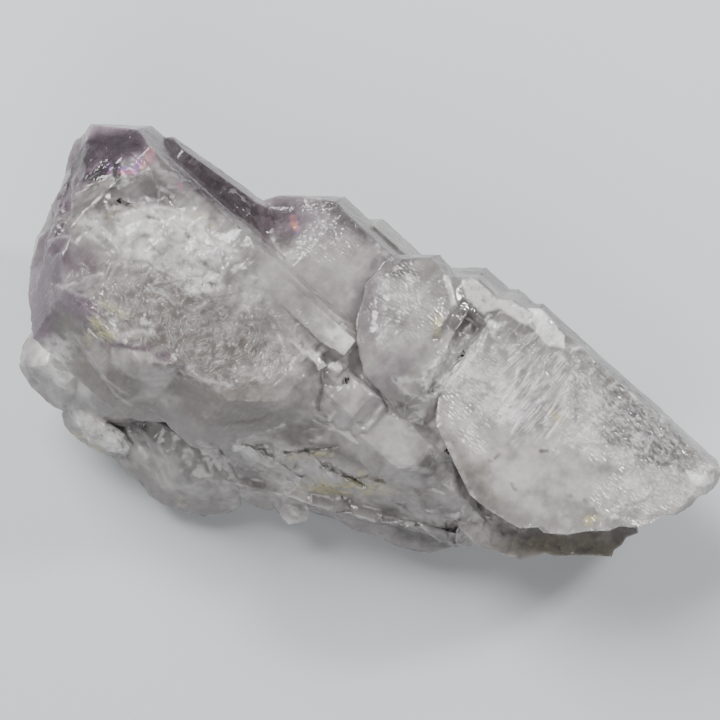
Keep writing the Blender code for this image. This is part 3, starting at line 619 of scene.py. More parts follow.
# The wide, soft stretches of each kind of skin.
ZONES: dict[Skin, tuple[Zone, ...]] = {
    Skin.CLEAR: zones(
        (108, 148, 11, 4, 8, 0.8), (76, 172, 9, 4, 60, 0.3), (48, 262, 4, 9, 0, 0.3),
        (60, 320, 8, 7, -35, 0.3), (284, 226, 4, 6, 20, 0.5), (350, 212, 12, 4, -40, 0.6),
        (470, 322, 4, 7, -38, 0.4), (380, 232, 9, 3, -40, 0.15), (480, 270, 9, 3, -35, 0.7),
        (574, 334, 20, 2.4, -43, 0.7), (634, 394, 18, 2.4, -43, 0.4), (645, 432, 13, 8, -42, 0.5),
        (325, 408, 4, 3, 0, 0.3), (420, 532, 9, 3, -20, 0.7), (395, 265, 6, 3, -30, 0.5),
        (232, 200, 8, 3, -42, 0.8),
    ),
    Skin.MILK: zones(
        (50, 365, 6, 7, 40), (560, 450, 28, 16, -20, 0.8), (490, 400, 12, 16, 20, 0.9),
        (640, 490, 14, 7, 0, 0.7), (705, 480, 5, 5), (420, 330, 9, 12, 20, 0.6), (330, 485, 22, 7, -5, 0.5),
        (170, 470, 20, 8, -20, 0.5), (440, 515, 15, 6, -15, 0.5), (620, 420, 18, 12, -38, 0.25),
        (60, 370, 8, 8), (305, 290, 14, 8, -42, 0.5), (165, 235, 15, 7, -10, 0.9), (100, 436, 8, 4, -32),
        (340, 248, 10, 8, -30, 0.5), (405, 445, 6, 5, -35, 0.6), (150, 368, 6, 3.4, -25, 0.7),
        (291, 504, 5, 8, 0, 1, 14), (200, 245, 8, 5, -30, 0.8), (335, 375, 11, 9, -40, 0.75),
        (300, 390, 10, 6, -20, 0.5), (385, 440, 12, 8, -30, 0.5), (278, 455, 10, 5, -30, 0.7),
        (340, 475, 9, 4, -20, 0.6), (455, 470, 6, 12, 25, 0.5),
    ),
    Skin.LILAC: zones(
        (112, 146, 13, 7, 8, 0.8, 14), (72, 175, 12, 6, 60, 1, 14), (47, 255, 6, 10, 0, 1, 14),
        (40, 300, 5, 10, 0, 0.9, 14), (200, 168, 20, 6, -40, 0.6, 12), (70, 262, 7, 5, 0, 0.5),
        (76, 306, 6, 3, -35, 0.7), (205, 165, 18, 5, -35, 0.4), (285, 215, 9, 7, -20, 0.65),
        (350, 230, 18, 8, -40, 0.25), (367, 300, 3, 12, 0, 0.4), (388, 375, 4, 9, -40, 0.35),
        (200, 300, 30, 22, -30, 0.12), (510, 420, 9, 4, 30, 0.2),
    ),
    # Taupe is the grey-brown of etched and broken faces. The narrow strips along the upper right edge also
    # darken the steep faces there as painted shade.
    Skin.TAUPE: zones(
        (190, 345, 24, 13, -20, 0.9), (240, 360, 12, 9, -20), (110, 380, 14, 6, -35, 0.7),
        (110, 405, 8, 5, -30, 0.7, 10), (230, 410, 18, 7, -10, 0.8), (470, 470, 5, 14, 25, 0.6),
        (580, 545, 14, 4, 0, 0.9), (120, 280, 12, 6, 0, 0.6), (85, 205, 9, 6, 20, 0.7),
        (72, 172, 11, 5, 60, 0.6), (52, 315, 6, 8, 0, 0.6), (255, 225, 6, 12, 40, 0.4),
        (330, 300, 10, 3, -42, 0.5), (575, 334, 20, 2.4, -43, 0.5), (634, 394, 18, 2.4, -43, 0.2),
        (470, 272, 10, 3, -30, 0.5), (380, 230, 10, 3, -40, 0.4), (300, 440, 12, 4, 0, 0.5),
        (360, 450, 6, 5, 0, 0.5), (150, 480, 12, 6, -20, 0.3),
    ),
    Skin.VEIL_AND_PAINTED_GLINT: zones(
        (165, 240, 15, 7, -12, 0.75), (105, 232, 7, 3, -15, 0.7), (190, 252, 6, 5, -20, 0.7),
        (205, 282, 5, 2.5, 0, 0.7), (55, 355, 5, 4, 40, 0.6), (98, 436, 7, 3.4, -32, 0.8),
        (470, 376, 6, 4, 0, 0.6), (495, 402, 5, 5, 0, 0.5), (600, 450, 6, 2, -15, 0.6),
        (250, 290, 4, 4, 0, 0.35),
    ),
    Skin.FIBRE: zones((180, 318, 24, 11, -12), (240, 352, 12, 8), (95, 288, 8, 4, 0, 0.9)),
    Skin.FEATHER: zones((640, 430, 15, 10, -42), (605, 400, 8, 10, -20), (690, 475, 8, 7, -30, 0.8)),
    Skin.STRIA: zones((540, 375, 9, 12, 10), (515, 400, 6, 9, 20, 0.8)),
    Skin.GRAIN: zones(
        (470, 390, 8, 14, 15, 0.7), (410, 300, 8, 9, 20, 0.9), (325, 240, 8, 6, 0, 0.5),
        (640, 500, 12, 6, -10, 0.7), (108, 318, 5, 5, 0, 0.9), (100, 438, 8, 4, -32),
        (60, 215, 6, 8, 30, 0.6),
    ),
    Skin.CHIP: zones(
        (160, 470, 22, 10, -25, 0.6), (300, 480, 26, 10, -12), (430, 520, 24, 8, -10, 0.9),
        (65, 200, 6, 16, 30, 0.7), (45, 370, 7, 8, 0, 0.5), (600, 530, 20, 4, 0, 0.8),
        (335, 370, 6, 5, -40, 0.6), (175, 235, 16, 8, -12, 0.8), (120, 175, 9, 5, 0, 0.3),
    ),
    Skin.STAIN: zones((345, 490, 11, 1.6, 0, 0.6), (560, 548, 16, 3, 0, 0.15), (88, 446, 7, 1.8, -30, 0.5)),
    # Painted highlights on the knob and on a bright spot of the white ridge.
    Skin.PAINTED_HIGHLIGHT: zones((50, 360, 5, 6, 40, 0.5), (116, 446, 3, 2, -10, 0.7)),
    # Places of painted glints, which also get fine facets in the bump.
    Skin.FACETS_AND_PAINTED_GLINT: zones(
        (130, 168, 4, 3, 30, 0.8), (320, 240, 7, 5, 0, 0.5), (240, 200, 4, 1.5, -42, 0.3),
        (400, 290, 5, 6, 20, 0.9), (475, 375, 7, 6, 10, 0.6), (620, 420, 18, 12, -38, 0.6),
        (315, 204, 4, 2), (102, 325, 4, 5), (105, 438, 7, 3, -30, 0.8), (165, 290, 5, 4, 0, 0.3),
        (640, 495, 10, 5, 0, 0.6), (125, 206, 6, 2, 0, 0.5),
    ),
}


@dataclass
class Field:
    """Noises over the specimen's points, in the lattice's directions and millimetres."""

    places: np.ndarray

    def scaled(self, size_mm: Size, seed: float) -> np.ndarray:
        """Gives the points in sizes of a pattern; seed moves it, so that two of one size differ."""
        return self.places / np.array(size_mm) + seed * 7.31

    def wave(self, size_mm: Size, seed: float, octaves: int = 3) -> np.ndarray:
        """Gives a cloudy noise from about -1 to 1, with finer noises laid over the first."""
        return np.array([noise.fractal(Vector(row), 0.9, 2.1, octaves) for row in self.scaled(size_mm, seed)])

    def ridge(self, size_mm: Size, seed: float) -> np.ndarray:
        """Gives sharp ridges between rounded valleys, from -0.5 to 0.5."""
        return 0.5 - np.minimum(np.abs(self.wave(size_mm, seed, 2)) * 1.8, 1.0)

    def chips(self, size_mm: Size, seed: float) -> np.ndarray:
        """Gives flat chips that step and tilt against each other, from about -1 to 1."""
        heights = np.empty(len(self.places))
        for index, row in enumerate(self.scaled(size_mm, seed)):
            spot = Vector(row)
            cell = noise.voronoi(spot)[1][0]
            tilt = noise.cell_vector(cell * 31.0) - Vector((0.5, 0.5, 0.5))
            heights[index] = (noise.cell(cell * 57.0) - 0.5) + 1.6 * tilt.dot(spot - cell)
        return heights


@dataclass
class Specimen:
    """The whole crystal group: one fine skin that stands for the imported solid."""

    picture: Picture
    lattice: Lattice
    weld_mm: float = 0.004
    block_mm: float = 6.0
    block_reach: float = 0.6
    top_edge_mm: float = 1.0
    low_edge_mm: float = 2.2
    stroke_edge_mm: float = 0.5
    stroke_reach_mm: float = 0.7
    halvings: int = 4
    flat_angle: float = math.radians(0.3)
    crystal_edge: float = math.radians(24.0)
    sharp_angle: float = math.radians(30.0)
    swirl_px: tuple[float, float] = (210.0, 320.0)
    swirl_mm: float = 14.0
    wander_mm: Size = (4.0, 4.0, 4.0)
    fray_mm: Size = (0.9, 0.9, 0.9)
    fade_mm: Size = (2.2, 2.2, 2.2)
    rough_mm: Size = (1.5, 1.5, 1.5)
    nick_mm: Size = (1.6, 1.6, 1.6)
    nick_deep_mm: float = 0.45
    piece: bpy.types.Object | None = None
    tree: BVHTree | None = None
    ledges: np.ndarray | None = None
    masks: dict[Skin, np.ndarray] = field(default_factory=dict)

    def build(self) -> None:
        """Copies the solid, splits it finely and carves its relief."""
        self.copy_solid()
        self.split_long_edges()
        self.split_near_strokes()
        self.bridge_seams()
        self.measure_masks()
        self.carve()
        self.store_masks()

    def copy_solid(self) -> None:
        """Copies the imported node's mesh into a new object and closes its seams."""
        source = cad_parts[NODE]
        bpy.ops.object.select_all(action="DESELECT")
        self.piece = bpy.data.objects.new("crystal_skin", source.data.copy())
        bpy.context.scene.collection.objects.link(self.piece)
        self.piece.data.materials.clear()
        bpy.context.view_layer.objects.active = self.piece
        self.piece.select_set(True)
        bpy.ops.object.mode_set(mode="EDIT")
        bpy.ops.mesh.select_all(action="SELECT")
        bpy.ops.mesh.remove_doubles(threshold=self.weld_mm * MM)
        bpy.ops.mesh.dissolve_limited(angle_limit=self.flat_angle)
        bpy.ops.object.mode_set(mode="OBJECT")
        KNOB_ROOT.add_to(self.piece, self.picture)
        corners = [vert.co for vert in self.piece.data.vertices]
        self.tree = BVHTree.FromPolygons(corners, [poly.vertices for poly in self.piece.data.polygons])

    def split_long_edges(self) -> None:
        """Cuts the solid into blocks along its lattice, then halves the edges that are too long."""
        bpy.ops.object.mode_set(mode="EDIT")
        low, high = CAD_BOX
        reach = max(high[axis] - low[axis] for axis in range(3)) * self.block_reach
        middle = Vector([(low[axis] + high[axis]) / 2 for axis in range(3)])
        for normal in (self.lattice.headward, self.lattice.sideward, self.lattice.out):
            steps = int(reach / MM / self.block_mm)
            for step in range(-steps, steps + 1):
                bpy.ops.mesh.select_all(action="SELECT")
                point = middle + normal * step * self.block_mm * MM
                bpy.ops.mesh.bisect(plane_co=point, plane_no=normal, use_fill=False)
        self.make_triangles()
        for _ in range(self.halvings):
            if not self.halve(self.is_long):
                break
        bpy.ops.object.mode_set(mode="OBJECT")

    def split_near_strokes(self) -> None:
        """Halves the edges beside the strokes once, so that thin marks and ledges come out crisp."""
        near = np.full(len(self.piece.data.vertices), FAR_MM)
        for nearest, _ in self.stroke_distances(self.read("co")).values():
            near = np.minimum(near, np.abs(nearest))
        bpy.ops.object.mode_set(mode="EDIT")
        self.halve(
            lambda edge: min(near[vert.index] for vert in edge.verts) < self.stroke_reach_mm
            and edge.calc_length() > self.stroke_edge_mm * MM
        )
        bpy.ops.object.mode_set(mode="OBJECT")

    def is_long(self, edge: bmesh.types.BMEdge) -> bool:
        """Tells if an edge is longer than the skin's grain, which is finer on the upper side."""
        looks_up = max(face.normal.z for face in edge.link_faces) > 0.1
        return edge.calc_length() > (self.top_edge_mm if looks_up else self.low_edge_mm) * MM

    def halve(self, wanted: Callable[[bmesh.types.BMEdge], bool]) -> int:
        """Halves some edges of the skin, which is being edited.

        Args:
            wanted: Tells which edges.

        Returns:
            How many there were.
        """
        bpy.ops.mesh.select_mode(type="EDGE")
        bpy.ops.mesh.select_all(action="DESELECT")
        found = 0
        for edge in bmesh.from_edit_mesh(self.piece.data).edges:
            if wanted(edge):
                edge.select_set(True)
                found += 1
        bmesh.update_edit_mesh(self.piece.data)
        if found:
            bpy.ops.mesh.subdivide(number_cuts=1)
            self.make_triangles()
        return found

    @staticmethod
    def make_triangles() -> None:
        """Splits all faces of the mesh that is being edited into triangles."""
        bpy.ops.mesh.select_all(action="SELECT")
        bpy.ops.mesh.quads_convert_to_tris(quad_method="BEAUTY", ngon_method="BEAUTY")

    def stroke_distances(self, points: np.ndarray) -> dict[Stroke, tuple[np.ndarray, ...]]:
        """Finds, for each stroke, the points' distances from it in mm and how far along it they are."""
        spots = self.picture.spots(points)
        found = {}
        for stroke in (stroke for group in STROKES.values() for stroke in group):
            depths = [self.level_at(*pixel) for pixel in stroke.line]
            found[stroke] = stroke.measure(spots, depths, self.picture.px_per_mm)
        return found

    def surface_at(self, px: float, py: float) -> Vector:
        """Finds the place on the solid that a pixel of the photograph shows, in metres."""
        way = (self.picture.through(px, py) - self.picture.eye).normalized()
        place = self.tree.ray_cast(self.picture.eye, way)[0]
        if place is None:
            raise ValueError(f"no surface behind pixel {px}, {py}")
        return place

    def level_at(self, px: float, py: float) -> float:
        """Tells how far out of the picture plane the solid is behind a pixel, in mm."""
        return float(self.picture.spots(np.array([self.surface_at(px, py)]))[0, 2])

    def bridge_seams(self) -> None:
        """Lifts the floor of each seam nearly to the faces beside it."""
        points = self.read("co")
        uneven = Field(self.lattice.of(points)).wave(self.rough_mm, 18.0, 2)
        for seam in SEAMS:
            rise = seam.lift(self.picture.spots(points), uneven, self.level_at)
            toward = np.array(self.picture.eye) - points
            toward /= np.linalg.norm(toward, axis=1)[:, None]
            points += toward * rise[:, None] * MM
        self.move_to(points)

    def measure_masks(self) -> None:
        """Works out how much of each skin every vertex has, and the ledges' relief."""
        points = self.read("co")
        near = Field(self.lattice.of(points))
        wander = near.wave(self.wander_mm, 3.0)
        fray = near.wave(self.fray_mm, 15.0, 2)
        fade = near.wave(self.fade_mm, 16.0, 2)
        distances = self.stroke_distances(points)
        facing = self.read("normal") @ np.array(self.lattice.out)
        # Marks fade sooner than tints where the skin turns away from the eye.
        seen = smooth_step(facing, 0.02, 0.35)
        shown = smooth_step(facing, -0.05, 0.4)
        guesses = self.hidden_skin(near)
        self.ledges = np.zeros(len(points))
        for skin in Skin:
            mask = np.zeros(len(points))
            for zone in ZONES.get(skin, ()):
                centre = self.surface_at(zone.px, zone.py)
                mask = np.maximum(mask, zone.weights(points, centre, self.picture, wander))
            for stroke in STROKES.get(skin, ()):
                nearest, along = distances[stroke]
                mask = np.maximum(mask, stroke.mark(nearest, fray, fade))
                self.ledges += stroke.ledge(nearest, along)
            guess = guesses.get(skin, 0.2 * mask) * (1.0 - shown)
            self.masks[skin] = mask * (shown if skin in TINTS else seen) + guess
        self.ledges *= seen
        self.masks[Skin.EDGE] = self.edge_mask()
        under = smooth_step(-self.read("normal")[:, 2], 0.4, 0.9)
        self.masks[Skin.GRAIN] = np.maximum(self.masks[Skin.GRAIN], 0.7 * under)

    @staticmethod
    def hidden_skin(near: Field) -> dict[Skin, np.ndarray]:
        """Guesses the skin of the faces that the photograph doesn't show, as the crystals' growth goes on.

        Args:
            near: The noises over the skin's points.

        Returns:
            How much of each skin every point would have on such a face.
        """
        cloud = near.wave((18.0, 9.0, 9.0), 21.0)
        course = near.wave((5.0, 24.0, 24.0), 22.0)
        headward = smooth_step(-near.places[:, 0], 10.0, 45.0)
        return {
            Skin.CLEAR: 0.7 * smooth_step(cloud, -0.2, 0.6),
            Skin.MILK: 0.7 * smooth_step(-cloud, -0.2, 0.6),
            Skin.LILAC: (0.15 + 0.55 * headward) * smooth_step(cloud + course, -0.8, 0.6),
            Skin.TAUPE: 0.5 * smooth_step(course, 0.0, 0.7),
            # Painted shade on the hidden faces, more of it towards the head.
            Skin.PAINTED_SHADE: 0.4 * headward,
            Skin.STRIA: 0.55 * smooth_step(course, -0.5, 0.1),
            Skin.GRAIN: 0.4 * smooth_step(-course, 0.1, 0.6),
        }

    def edge_mask(self) -> np.ndarray:
        """Gives 1 for the vertices on the edges between the crystals' faces, and 0 elsewhere."""
        body = bmesh.new()
        body.from_mesh(self.piece.data)
        mask = np.zeros(len(body.verts))
        for edge in body.edges:
            if edge.calc_face_angle(0.0) > self.crystal_edge and edge.is_convex:
                mask[edge.verts[0].index] = mask[edge.verts[1].index] = 1.0
        body.free()
        return mask

    def flow(self, points: np.ndarray) -> np.ndarray:
        """Works out how the etched fibres run: in frayed rings about one place on the head.

        Args:
            points: Places in metres, one to a row.

        Returns:
            For each point, its distance from the middle of the rings and its way round, in mm.
        """
        rows = np.array(self.picture.axes.transposed())
        local = (points - np.array(self.surface_at(*self.swirl_px))) @ rows.T / MM
        near = Field(self.lattice.of(points))
        distance = np.hypot(local[:, 0], local[:, 1])
        distance += 3.0 * near.wave((9.0, 9.0, 9.0), 11.0, 2) + 0.7 * near.wave((2.5, 2.5, 2.5), 12.0, 2)
        way_round = np.arctan2(local[:, 1], -local[:, 0]) * self.swirl_mm
        return np.stack([distance, way_round, local[:, 2]], axis=1)

    def read(self, name: str) -> np.ndarray:
        """Gives the skin's vertices, "co" in metres, or their "normal" directions, one to a row."""
        flat = np.empty(len(self.piece.data.vertices) * 3)
        self.piece.data.vertices.foreach_get(name, flat)
        return flat.reshape(-1, 3)

    def move_to(self, points: np.ndarray) -> None:
        """Moves the skin's vertices."""
        self.piece.data.vertices.foreach_set("co", points.ravel())
        self.piece.data.update()

    def carve(self) -> None:
        """Moves the skin in and out by the relief of each kind of surface."""
        points = self.read("co")
        near = Field(self.lattice.of(points))
        rings = Field(self.flow(points))
        relief = 0.06 * near.wave((7.0, 5.0, 5.0), 1.0) + self.ledges
        relief += 0.06 * near.ridge((3.2, 14.0, 8.0), 10.0) * (1.0 - self.masks[Skin.CLEAR])
        # Each row: where it lies, its height in mm, its pattern, the pattern's size and its seed.
        for skin, height_mm, pattern, size_mm, seed in (
            (Skin.CHIP, 0.50, near.chips, (4.6, 3.6, 3.6), 2.0),
            (Skin.CHIP, 0.12, near.chips, (2.0, 1.8, 1.8), 4.0),
            (Skin.FIBRE, 0.06, rings.ridge, (2.6, 9.0, 6.0), 6.0),
            (Skin.FEATHER, 0.24, near.ridge, (3.4, 2.2, 2.6), 7.0),
            (Skin.STRIA, 0.22, near.ridge, (2.8, 14.0, 6.0), 8.0),
            (Skin.GRAIN, 0.16, near.chips, (2.2, 2.0, 2.0), 9.0),
        ):
            relief += height_mm * self.masks[skin] * pattern(size_mm, seed)
        nicks = np.maximum(near.wave(self.nick_mm, 13.0, 2), 0.0)
        relief -= self.nick_deep_mm * self.masks[Skin.EDGE] * nicks
        moved = points + self.read("normal") * relief[:, None] * MM
        self.move_to(np.clip(moved, *(np.array(corner) for corner in CAD_BOX)))
        layer = self.piece.data.attributes.new(FLOW, "FLOAT_VECTOR", "POINT")
        layer.data.foreach_set("vector", rings.places.astype(np.float32).ravel())

    def store_masks(self) -> None:
        """Writes the masks on the mesh, where the material reads them, and shades it."""
        for skin, mask in self.masks.items():
            layer = self.piece.data.attributes.new(skin.value, "FLOAT", "POINT")
            layer.data.foreach_set("value", mask.astype(np.float32))
        bpy.ops.object.select_all(action="DESELECT")
        self.piece.select_set(True)
        bpy.context.view_layer.objects.active = self.piece
        bpy.ops.object.shade_smooth_by_angle(angle=self.sharp_angle)

    def dress(self, finish: "MilkyQuartz") -> None:
        """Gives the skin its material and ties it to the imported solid."""
        self.piece.data.materials.append(finish.material(self.lattice))
        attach(self.piece, BODY)
        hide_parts(NODE)
        log.info("%s: %d triangles", self.piece.name, len(self.piece.data.polygons))


class Tree:
    """The nodes of a material or a world, with one way to add a node and some ways to join patterns."""

    def __init__(self, owner: bpy.types.Material | bpy.types.World) -> None:
        """Starts with no nodes."""
        owner.use_nodes = True
        self.nodes = owner.node_tree.nodes
        self.links = owner.node_tree.links
        self.nodes.clear()

    def add(self, kind: str, inputs: dict | None = None, **settings: str) -> bpy.types.Node:
        """Adds a node, sets it and links it.

        Args:
            kind: The node's type, such as "ShaderNodeMix".
            inputs: For each input, by name or number, a value or the socket that feeds it.
            **settings: The node's own properties.

        Returns:
            The new node.
        """
        node = self.nodes.new(kind)
        for name, value in settings.items():
            setattr(node, name, value)
        for key, value in (inputs or {}).items():
            if isinstance(value, Socket):
                self.links.new(value, node.inputs[key])
            else:
                node.inputs[key].default_value = value
        return node

    def sized(self, place: Socket, size_mm: Iterable[float], unit: float = MM) -> Socket:
        """Divides places by a pattern's size along each direction."""
        scale = tuple(1.0 / (size * unit) for size in size_mm)
        return self.add("ShaderNodeVectorMath", {0: place, 1: scale}, operation="MULTIPLY").outputs[0]

    def cloudy(self, place: Socket, detail: float) -> Socket:
        """Gives a cloudy pattern, about half of it over 0.5."""
        pattern = {"Vector": place, "Scale": 1.0, "Detail": detail, "Roughness": 0.6}
        return self.add("ShaderNodeTexNoise", pattern).outputs[0]

    def between(self, pattern: Socket, low: float, high: float, start: float, end: float) -> Socket:
        """Goes evenly from start to end as a pattern goes from low to high."""
        limits = {"Value": pattern, "From Min": low, "From Max": high, "To Min": start, "To Max": end}
        return self.add("ShaderNodeMapRange", limits).outputs["Result"]

    def band(self, pattern: Socket, low: float, high: float) -> Socket:
        """Rises smoothly from 0 to 1 as a pattern goes from low to high."""
        result = self.between(pattern, low, high, 0.0, 1.0)
        result.node.interpolation_type = "SMOOTHSTEP"
        return result

    def lines(self, pattern: Socket, width: float) -> Socket:
        """Draws thin lines where a cloudy pattern crosses 0.5."""
        away = self.add("ShaderNodeMath", {0: pattern, 1: 0.5}, operation="SUBTRACT").outputs[0]
        away = self.add("ShaderNodeMath", {0: away}, operation="ABSOLUTE").outputs[0]
        result = self.between(away, 0.0, width, 1.0, 0.0)
        result.node.interpolation_type = "SMOOTHSTEP"
        return result

    def both(self, first: Socket, second: Socket | float) -> Socket:
        """Gives what two masks share."""
        return self.add("ShaderNodeMath", {0: first, 1: second}, operation="MULTIPLY").outputs[0]

    def most(self, mask: Socket, *layers: Socket) -> Socket:
        """Gives the strongest of some masks."""
        for layer in layers:
            mask = self.add("ShaderNodeMath", {0: mask, 1: layer}, operation="MAXIMUM").outputs[0]
        return mask

    def less(self, mask: Socket, share: float) -> Socket:
        """Gives 1 less a share of a mask."""
        return self.sum(1.0, (mask, -share))

    def sum(self, start: float, *layers: tuple[Socket, float]) -> Socket | float:
        """Adds patterns up on a start value, each with its own share."""
        total = start
        for pattern, share in layers:
            added = {0: pattern, 1: share, 2: total}
            total = self.add("ShaderNodeMath", added, operation="MULTIPLY_ADD").outputs[0]
        return total

    def tint(self, colour: Socket | tuple, code: str, share: Socket) -> Socket:
        """Mixes a colour in by a mask."""
        return self.add("ShaderNodeMix", {0: share, 6: colour, 7: linear(code)}, data_type="RGBA").outputs[2]


@dataclass(frozen=True)
class MilkyQuartz:
    """Natural quartz, grown from hot water as parallel crystals, and in places broken.

    Growth leaves smooth glassy faces, see-through and faintly lilac. Fluid trapped in healed cracks
    shows as white clouds and wisps under them, and broken or etched faces scatter light, which
    gives the eye a frosted grey-brown with small bright flecks; the flecks are painted glints. Pale
    patches on some facets are painted highlights, dark patches where the clear quartz looks dark
    are painted shade, and a few small rainbows are painted iridescence. Flecks, lines and fibres
    are drawn coarser than the real ones, which are too fine for the picture.
    """

    clear_hex: str = "9b9795"
    milk_hex: str = "b0adaa"
    white_hex: str = "ceccca"
    strand_hex: str = "dbd9d7"
    lilac_hex: str = "7f6c7a"
    taupe_hex: str = "847e77"
    stain_hex: str = "b0a97c"
    soot_hex: str = "564e42"
    violet_hex: str = "a070c8"
    orange_hex: str = "e8a878"
    painted_shade_hex: str = "554d51"
    painted_highlight_hex: str = "dfdddb"
    depth_hex: str = "dcd7da"
    depth_density: float = 45.0
    ior: float = 1.544
    glow_share: float = 0.6
    glow_mm: float = 4.0
    cloud_mm: float = 8.0
    mottle_mm: float = 1.8
    fleck_mm: Size = (1.3, 0.55, 0.8)
    stria_mm: Size = (0.9, 12.0, 6.0)
    feather_mm: Size = (2.4, 0.9, 1.5)
    curve_mm: Size = (0.8, 12.0, 6.0)
    fibre_mm: Size = (0.45, 3.6, 4.0)

    def material(self, lattice: Lattice) -> bpy.types.Material:
        """Builds the material.

        Args:
            lattice: The directions that the growth patterns follow.

        Returns:
            The material, which reads the skin's masks, its flow and object coordinates.
        """
        quartz = bpy.data.materials.new("milky_quartz_natural_growth")
        tree = Tree(quartz)
        both, band, less, most, tint = tree.both, tree.band, tree.less, tree.most, tree.tint
        mask = {
            skin: tree.add("ShaderNodeAttribute", attribute_name=skin.value).outputs["Fac"] for skin in Skin
        }
        place = tree.add("ShaderNodeTexCoord").outputs["Object"]
        rows = Matrix((-lattice.headward, lattice.sideward, lattice.out))
        grown = tree.add("ShaderNodeMapping", {"Vector": place, "Rotation": rows.to_euler()}).outputs[0]
        flow = tree.add("ShaderNodeAttribute", attribute_name=FLOW).outputs["Vector"]

        # Clouds and mottles are the trapped fluid; the lines are growth lines, and the cells are small facets
        # in the bump and painted glints in the colour.
        cloud = tree.cloudy(tree.sized(place, (self.cloud_mm,) * 3), 3.0)
        mottle = tree.cloudy(tree.sized(place, (self.mottle_mm,) * 3), 3.0)
        course = tree.sized(grown, self.stria_mm)
        for skin, other in (
            (Skin.STRIA, tree.sized(grown, self.curve_mm)),
            (Skin.FEATHER, tree.sized(grown, self.feather_mm)),
            (Skin.FIBRE, tree.sized(flow, self.fibre_mm, 1.0)),
        ):
            here = tree.add("ShaderNodeMath", {0: mask[skin], 1: 0.4}, operation="GREATER_THAN").outputs[0]
            course = tree.add("ShaderNodeMix", {0: here, 4: course, 5: other}, data_type="VECTOR").outputs[1]
        drawn = (mask[Skin.FIBRE], 0.25), (mask[Skin.FEATHER], 0.9), (mask[Skin.STRIA], 0.75)
        strand = both(tree.lines(tree.cloudy(course, 2.0), 0.14), band(mottle, 0.35, 0.65))
        strand = both(strand, tree.sum(0.08, *drawn))
        flecks = tree.sized(grown, self.fleck_mm)
        cells = tree.add("ShaderNodeTexVoronoi", {"Vector": flecks, "Scale": 1.0})
        pick = tree.add("ShaderNodeSeparateColor", {0: cells.outputs["Color"]}).outputs[0]

        # Painted glints: white flecks on some cells, where light would glint off tiny cracks.
        painted_glint = both(band(pick, 0.84, 0.98), mask[Skin.FACETS_AND_PAINTED_GLINT])
        veil_and_painted_glint = both(mask[Skin.VEIL_AND_PAINTED_GLINT], both(band(mottle, 0.25, 0.6), band(cloud, 0.1, 0.55)))
        wisps = both(band(cloud, 0.48, 0.72), less(mask[Skin.CLEAR], 0.8))
        milk = most(both(mask[Skin.MILK], band(cloud, 0.2, 0.6)), both(wisps, 0.45))
        nick = both(mask[Skin.EDGE], band(mottle, 0.52, 1.1))
        stain = both(mask[Skin.STAIN], band(mottle, 0.35, 0.55))
        soot = both(mask[Skin.SOOT], band(mottle, 0.25, 0.45))
        # Painted highlights: pale patches on the facets that catch the light.
        painted_highlight = both(mask[Skin.PAINTED_HIGHLIGHT], band(mottle, 0.05, 0.6))
        # The violet and orange of the rainbow marks are painted iridescence, a reflection off thin cracks.
        warm = both(mask[Skin.RAINBOW], band(cloud, 0.4, 0.55))
        # White is the veils and worn nicks, with the painted glints of the flecks and of some veil strokes.
        white = most(veil_and_painted_glint, painted_glint, nick)

        colour = linear(self.clear_hex)
        for code, share in (
            (self.taupe_hex, mask[Skin.TAUPE]), (self.milk_hex, milk), (self.lilac_hex, mask[Skin.LILAC]),
        ):
            colour = tint(colour, code, share)
        for pattern, low, high in ((cloud, 0.88, 1.10), (mottle, 0.90, 1.08)):
            shade = {0: colour, "Scale": tree.between(pattern, 0.3, 0.7, low, high)}
            colour = tree.add("ShaderNodeVectorMath", shade, operation="SCALE").outputs[0]
        # The painted shade darkens the patches where the clear quartz looks dark.
        for code, share in (
            (self.painted_shade_hex, mask[Skin.PAINTED_SHADE]), (self.strand_hex, strand), (self.white_hex, white),
            (self.painted_highlight_hex, painted_highlight), (self.stain_hex, stain), (self.soot_hex, soot),
            (self.violet_hex, mask[Skin.RAINBOW]), (self.orange_hex, warm),
        ):
            colour = tint(colour, code, share)

        # Clear quartz lets light through; clouds, stains and fresh breaks scatter it.
        opaque = most(white, milk, stain, soot, painted_highlight)
        clear = both(tree.between(mask[Skin.CLEAR], 0.0, 1.0, 0.5, 0.95), less(opaque, 0.8))
        clear = both(clear, less(mask[Skin.PAINTED_SHADE], 0.2))
        rough = (opaque, 0.12), (mask[Skin.GRAIN], 0.10), (mask[Skin.TAUPE], 0.05), (mottle, 0.08)
        grainy = tree.sum(0.01, (mask[Skin.GRAIN], 0.2), (mask[Skin.FACETS_AND_PAINTED_GLINT], 0.25), (veil_and_painted_glint, 0.12))
        facets = both(cells.outputs["Distance"], grainy)
        height = tree.sum(0.0, (mottle, 0.10), (strand, 0.30), (facets, 0.9))
        bump = tree.add("ShaderNodeBump", {"Height": height, "Distance": MM, "Strength": 1.0})
        body = tree.add(
            "ShaderNodeBsdfPrincipled",
            {
                "Base Color": colour,
                "IOR": self.ior,
                "Roughness": tree.sum(0.05, *rough),
                "Transmission Weight": clear,
                "Subsurface Weight": self.glow_share,
                "Subsurface Scale": self.glow_mm * MM,
                "Subsurface Radius": (1.0, 1.0, 1.0),
                "Normal": bump.outputs[0],
            },
        )
        tinted = {"Color": linear(self.depth_hex), "Density": self.depth_density}
        depth = tree.add("ShaderNodeVolumeAbsorption", tinted)
        tree.add("ShaderNodeOutputMaterial", {"Surface": body.outputs[0], "Volume": depth.outputs[0]})
        return quartz


@dataclass(frozen=True)
class Panel:
    """A square light that faces the specimen; place and size are in metres."""

    place: Size
    size: float
    watts: float

    def add(self) -> None:
        """Adds the light."""
        bpy.ops.object.light_add(type="AREA", location=self.place)
        panel = bpy.context.object
        panel.data.size = self.size
        panel.data.energy = self.watts
        panel.rotation_mode = "QUATERNION"
        panel.rotation_quaternion = Vector(self.place).to_track_quat("Z", "Y")


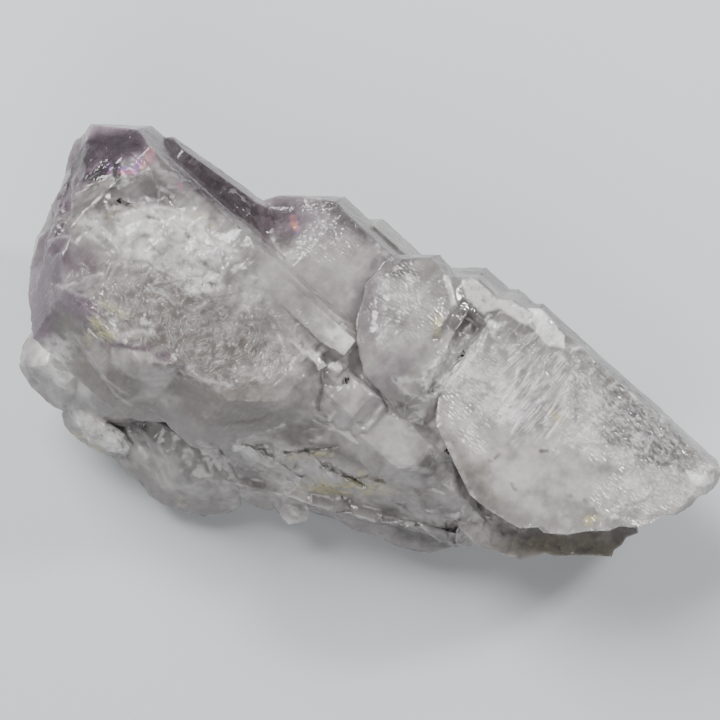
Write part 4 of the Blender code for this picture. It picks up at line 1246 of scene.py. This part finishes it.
@dataclass(frozen=True)
class Studio:
    """A plain pale floor, soft light from panels overhead, and pale walls round a darker ceiling."""

    floor_size: float = 6.0
    floor_hex: str = "b6b8ba"
    floor_roughness: float = 0.9
    room_light: tuple[float, float, float, float] = (0.9, 0.93, 1.0, 1.0)
    wall_light: float = 0.55
    ceiling_light: float = 0.16
    panels: tuple[Panel, ...] = (
        Panel((-0.40, 0.50, 0.70), 0.55, 19.5),
        Panel((-0.10, -0.70, 0.60), 0.60, 5.0),
        Panel((0.40, 0.20, 0.35), 0.07, 2.4),
    )

    def build(self) -> None:
        """Adds the floor, the lights and the room."""
        bpy.ops.mesh.primitive_plane_add(size=self.floor_size)
        floor = bpy.context.object
        floor.name = "floor"
        # Matt paper, pressed from pulp, scatters the light evenly and shows no highlight.
        paper = bpy.data.materials.new("matt_paper")
        tree = Tree(paper)
        finish = {"Base Color": linear(self.floor_hex), "Roughness": self.floor_roughness}
        body = tree.add("ShaderNodeBsdfPrincipled", finish)
        tree.add("ShaderNodeOutputMaterial", {"Surface": body.outputs[0]})
        floor.data.materials.append(paper)
        for panel in self.panels:
            panel.add()
        self.add_room()

    def add_room(self) -> None:
        """Adds the room's own light, graded from the walls to the ceiling."""
        world = bpy.data.worlds.new("soft_room")
        tree = Tree(world)
        way = tree.add("ShaderNodeTexCoord").outputs["Generated"]
        height = tree.add("ShaderNodeSeparateXYZ", {0: way}).outputs["Z"]
        light = tree.between(height, 0.0, 0.5, self.wall_light, self.ceiling_light)
        sky = tree.add("ShaderNodeBackground", {"Color": self.room_light, "Strength": light})
        tree.add("ShaderNodeOutputWorld", {"Surface": sky.outputs[0]})
        bpy.context.scene.world = world


def main() -> None:
    """Builds the specimen, its finish, the studio and the camera."""
    logging.basicConfig(level=logging.INFO, format="%(name)s %(message)s")
    picture = Picture()
    specimen = Specimen(picture, Lattice(picture))
    specimen.build()
    specimen.dress(MilkyQuartz())
    Studio().build()
    picture.add_camera()


if __name__ == "__main__":
    main()
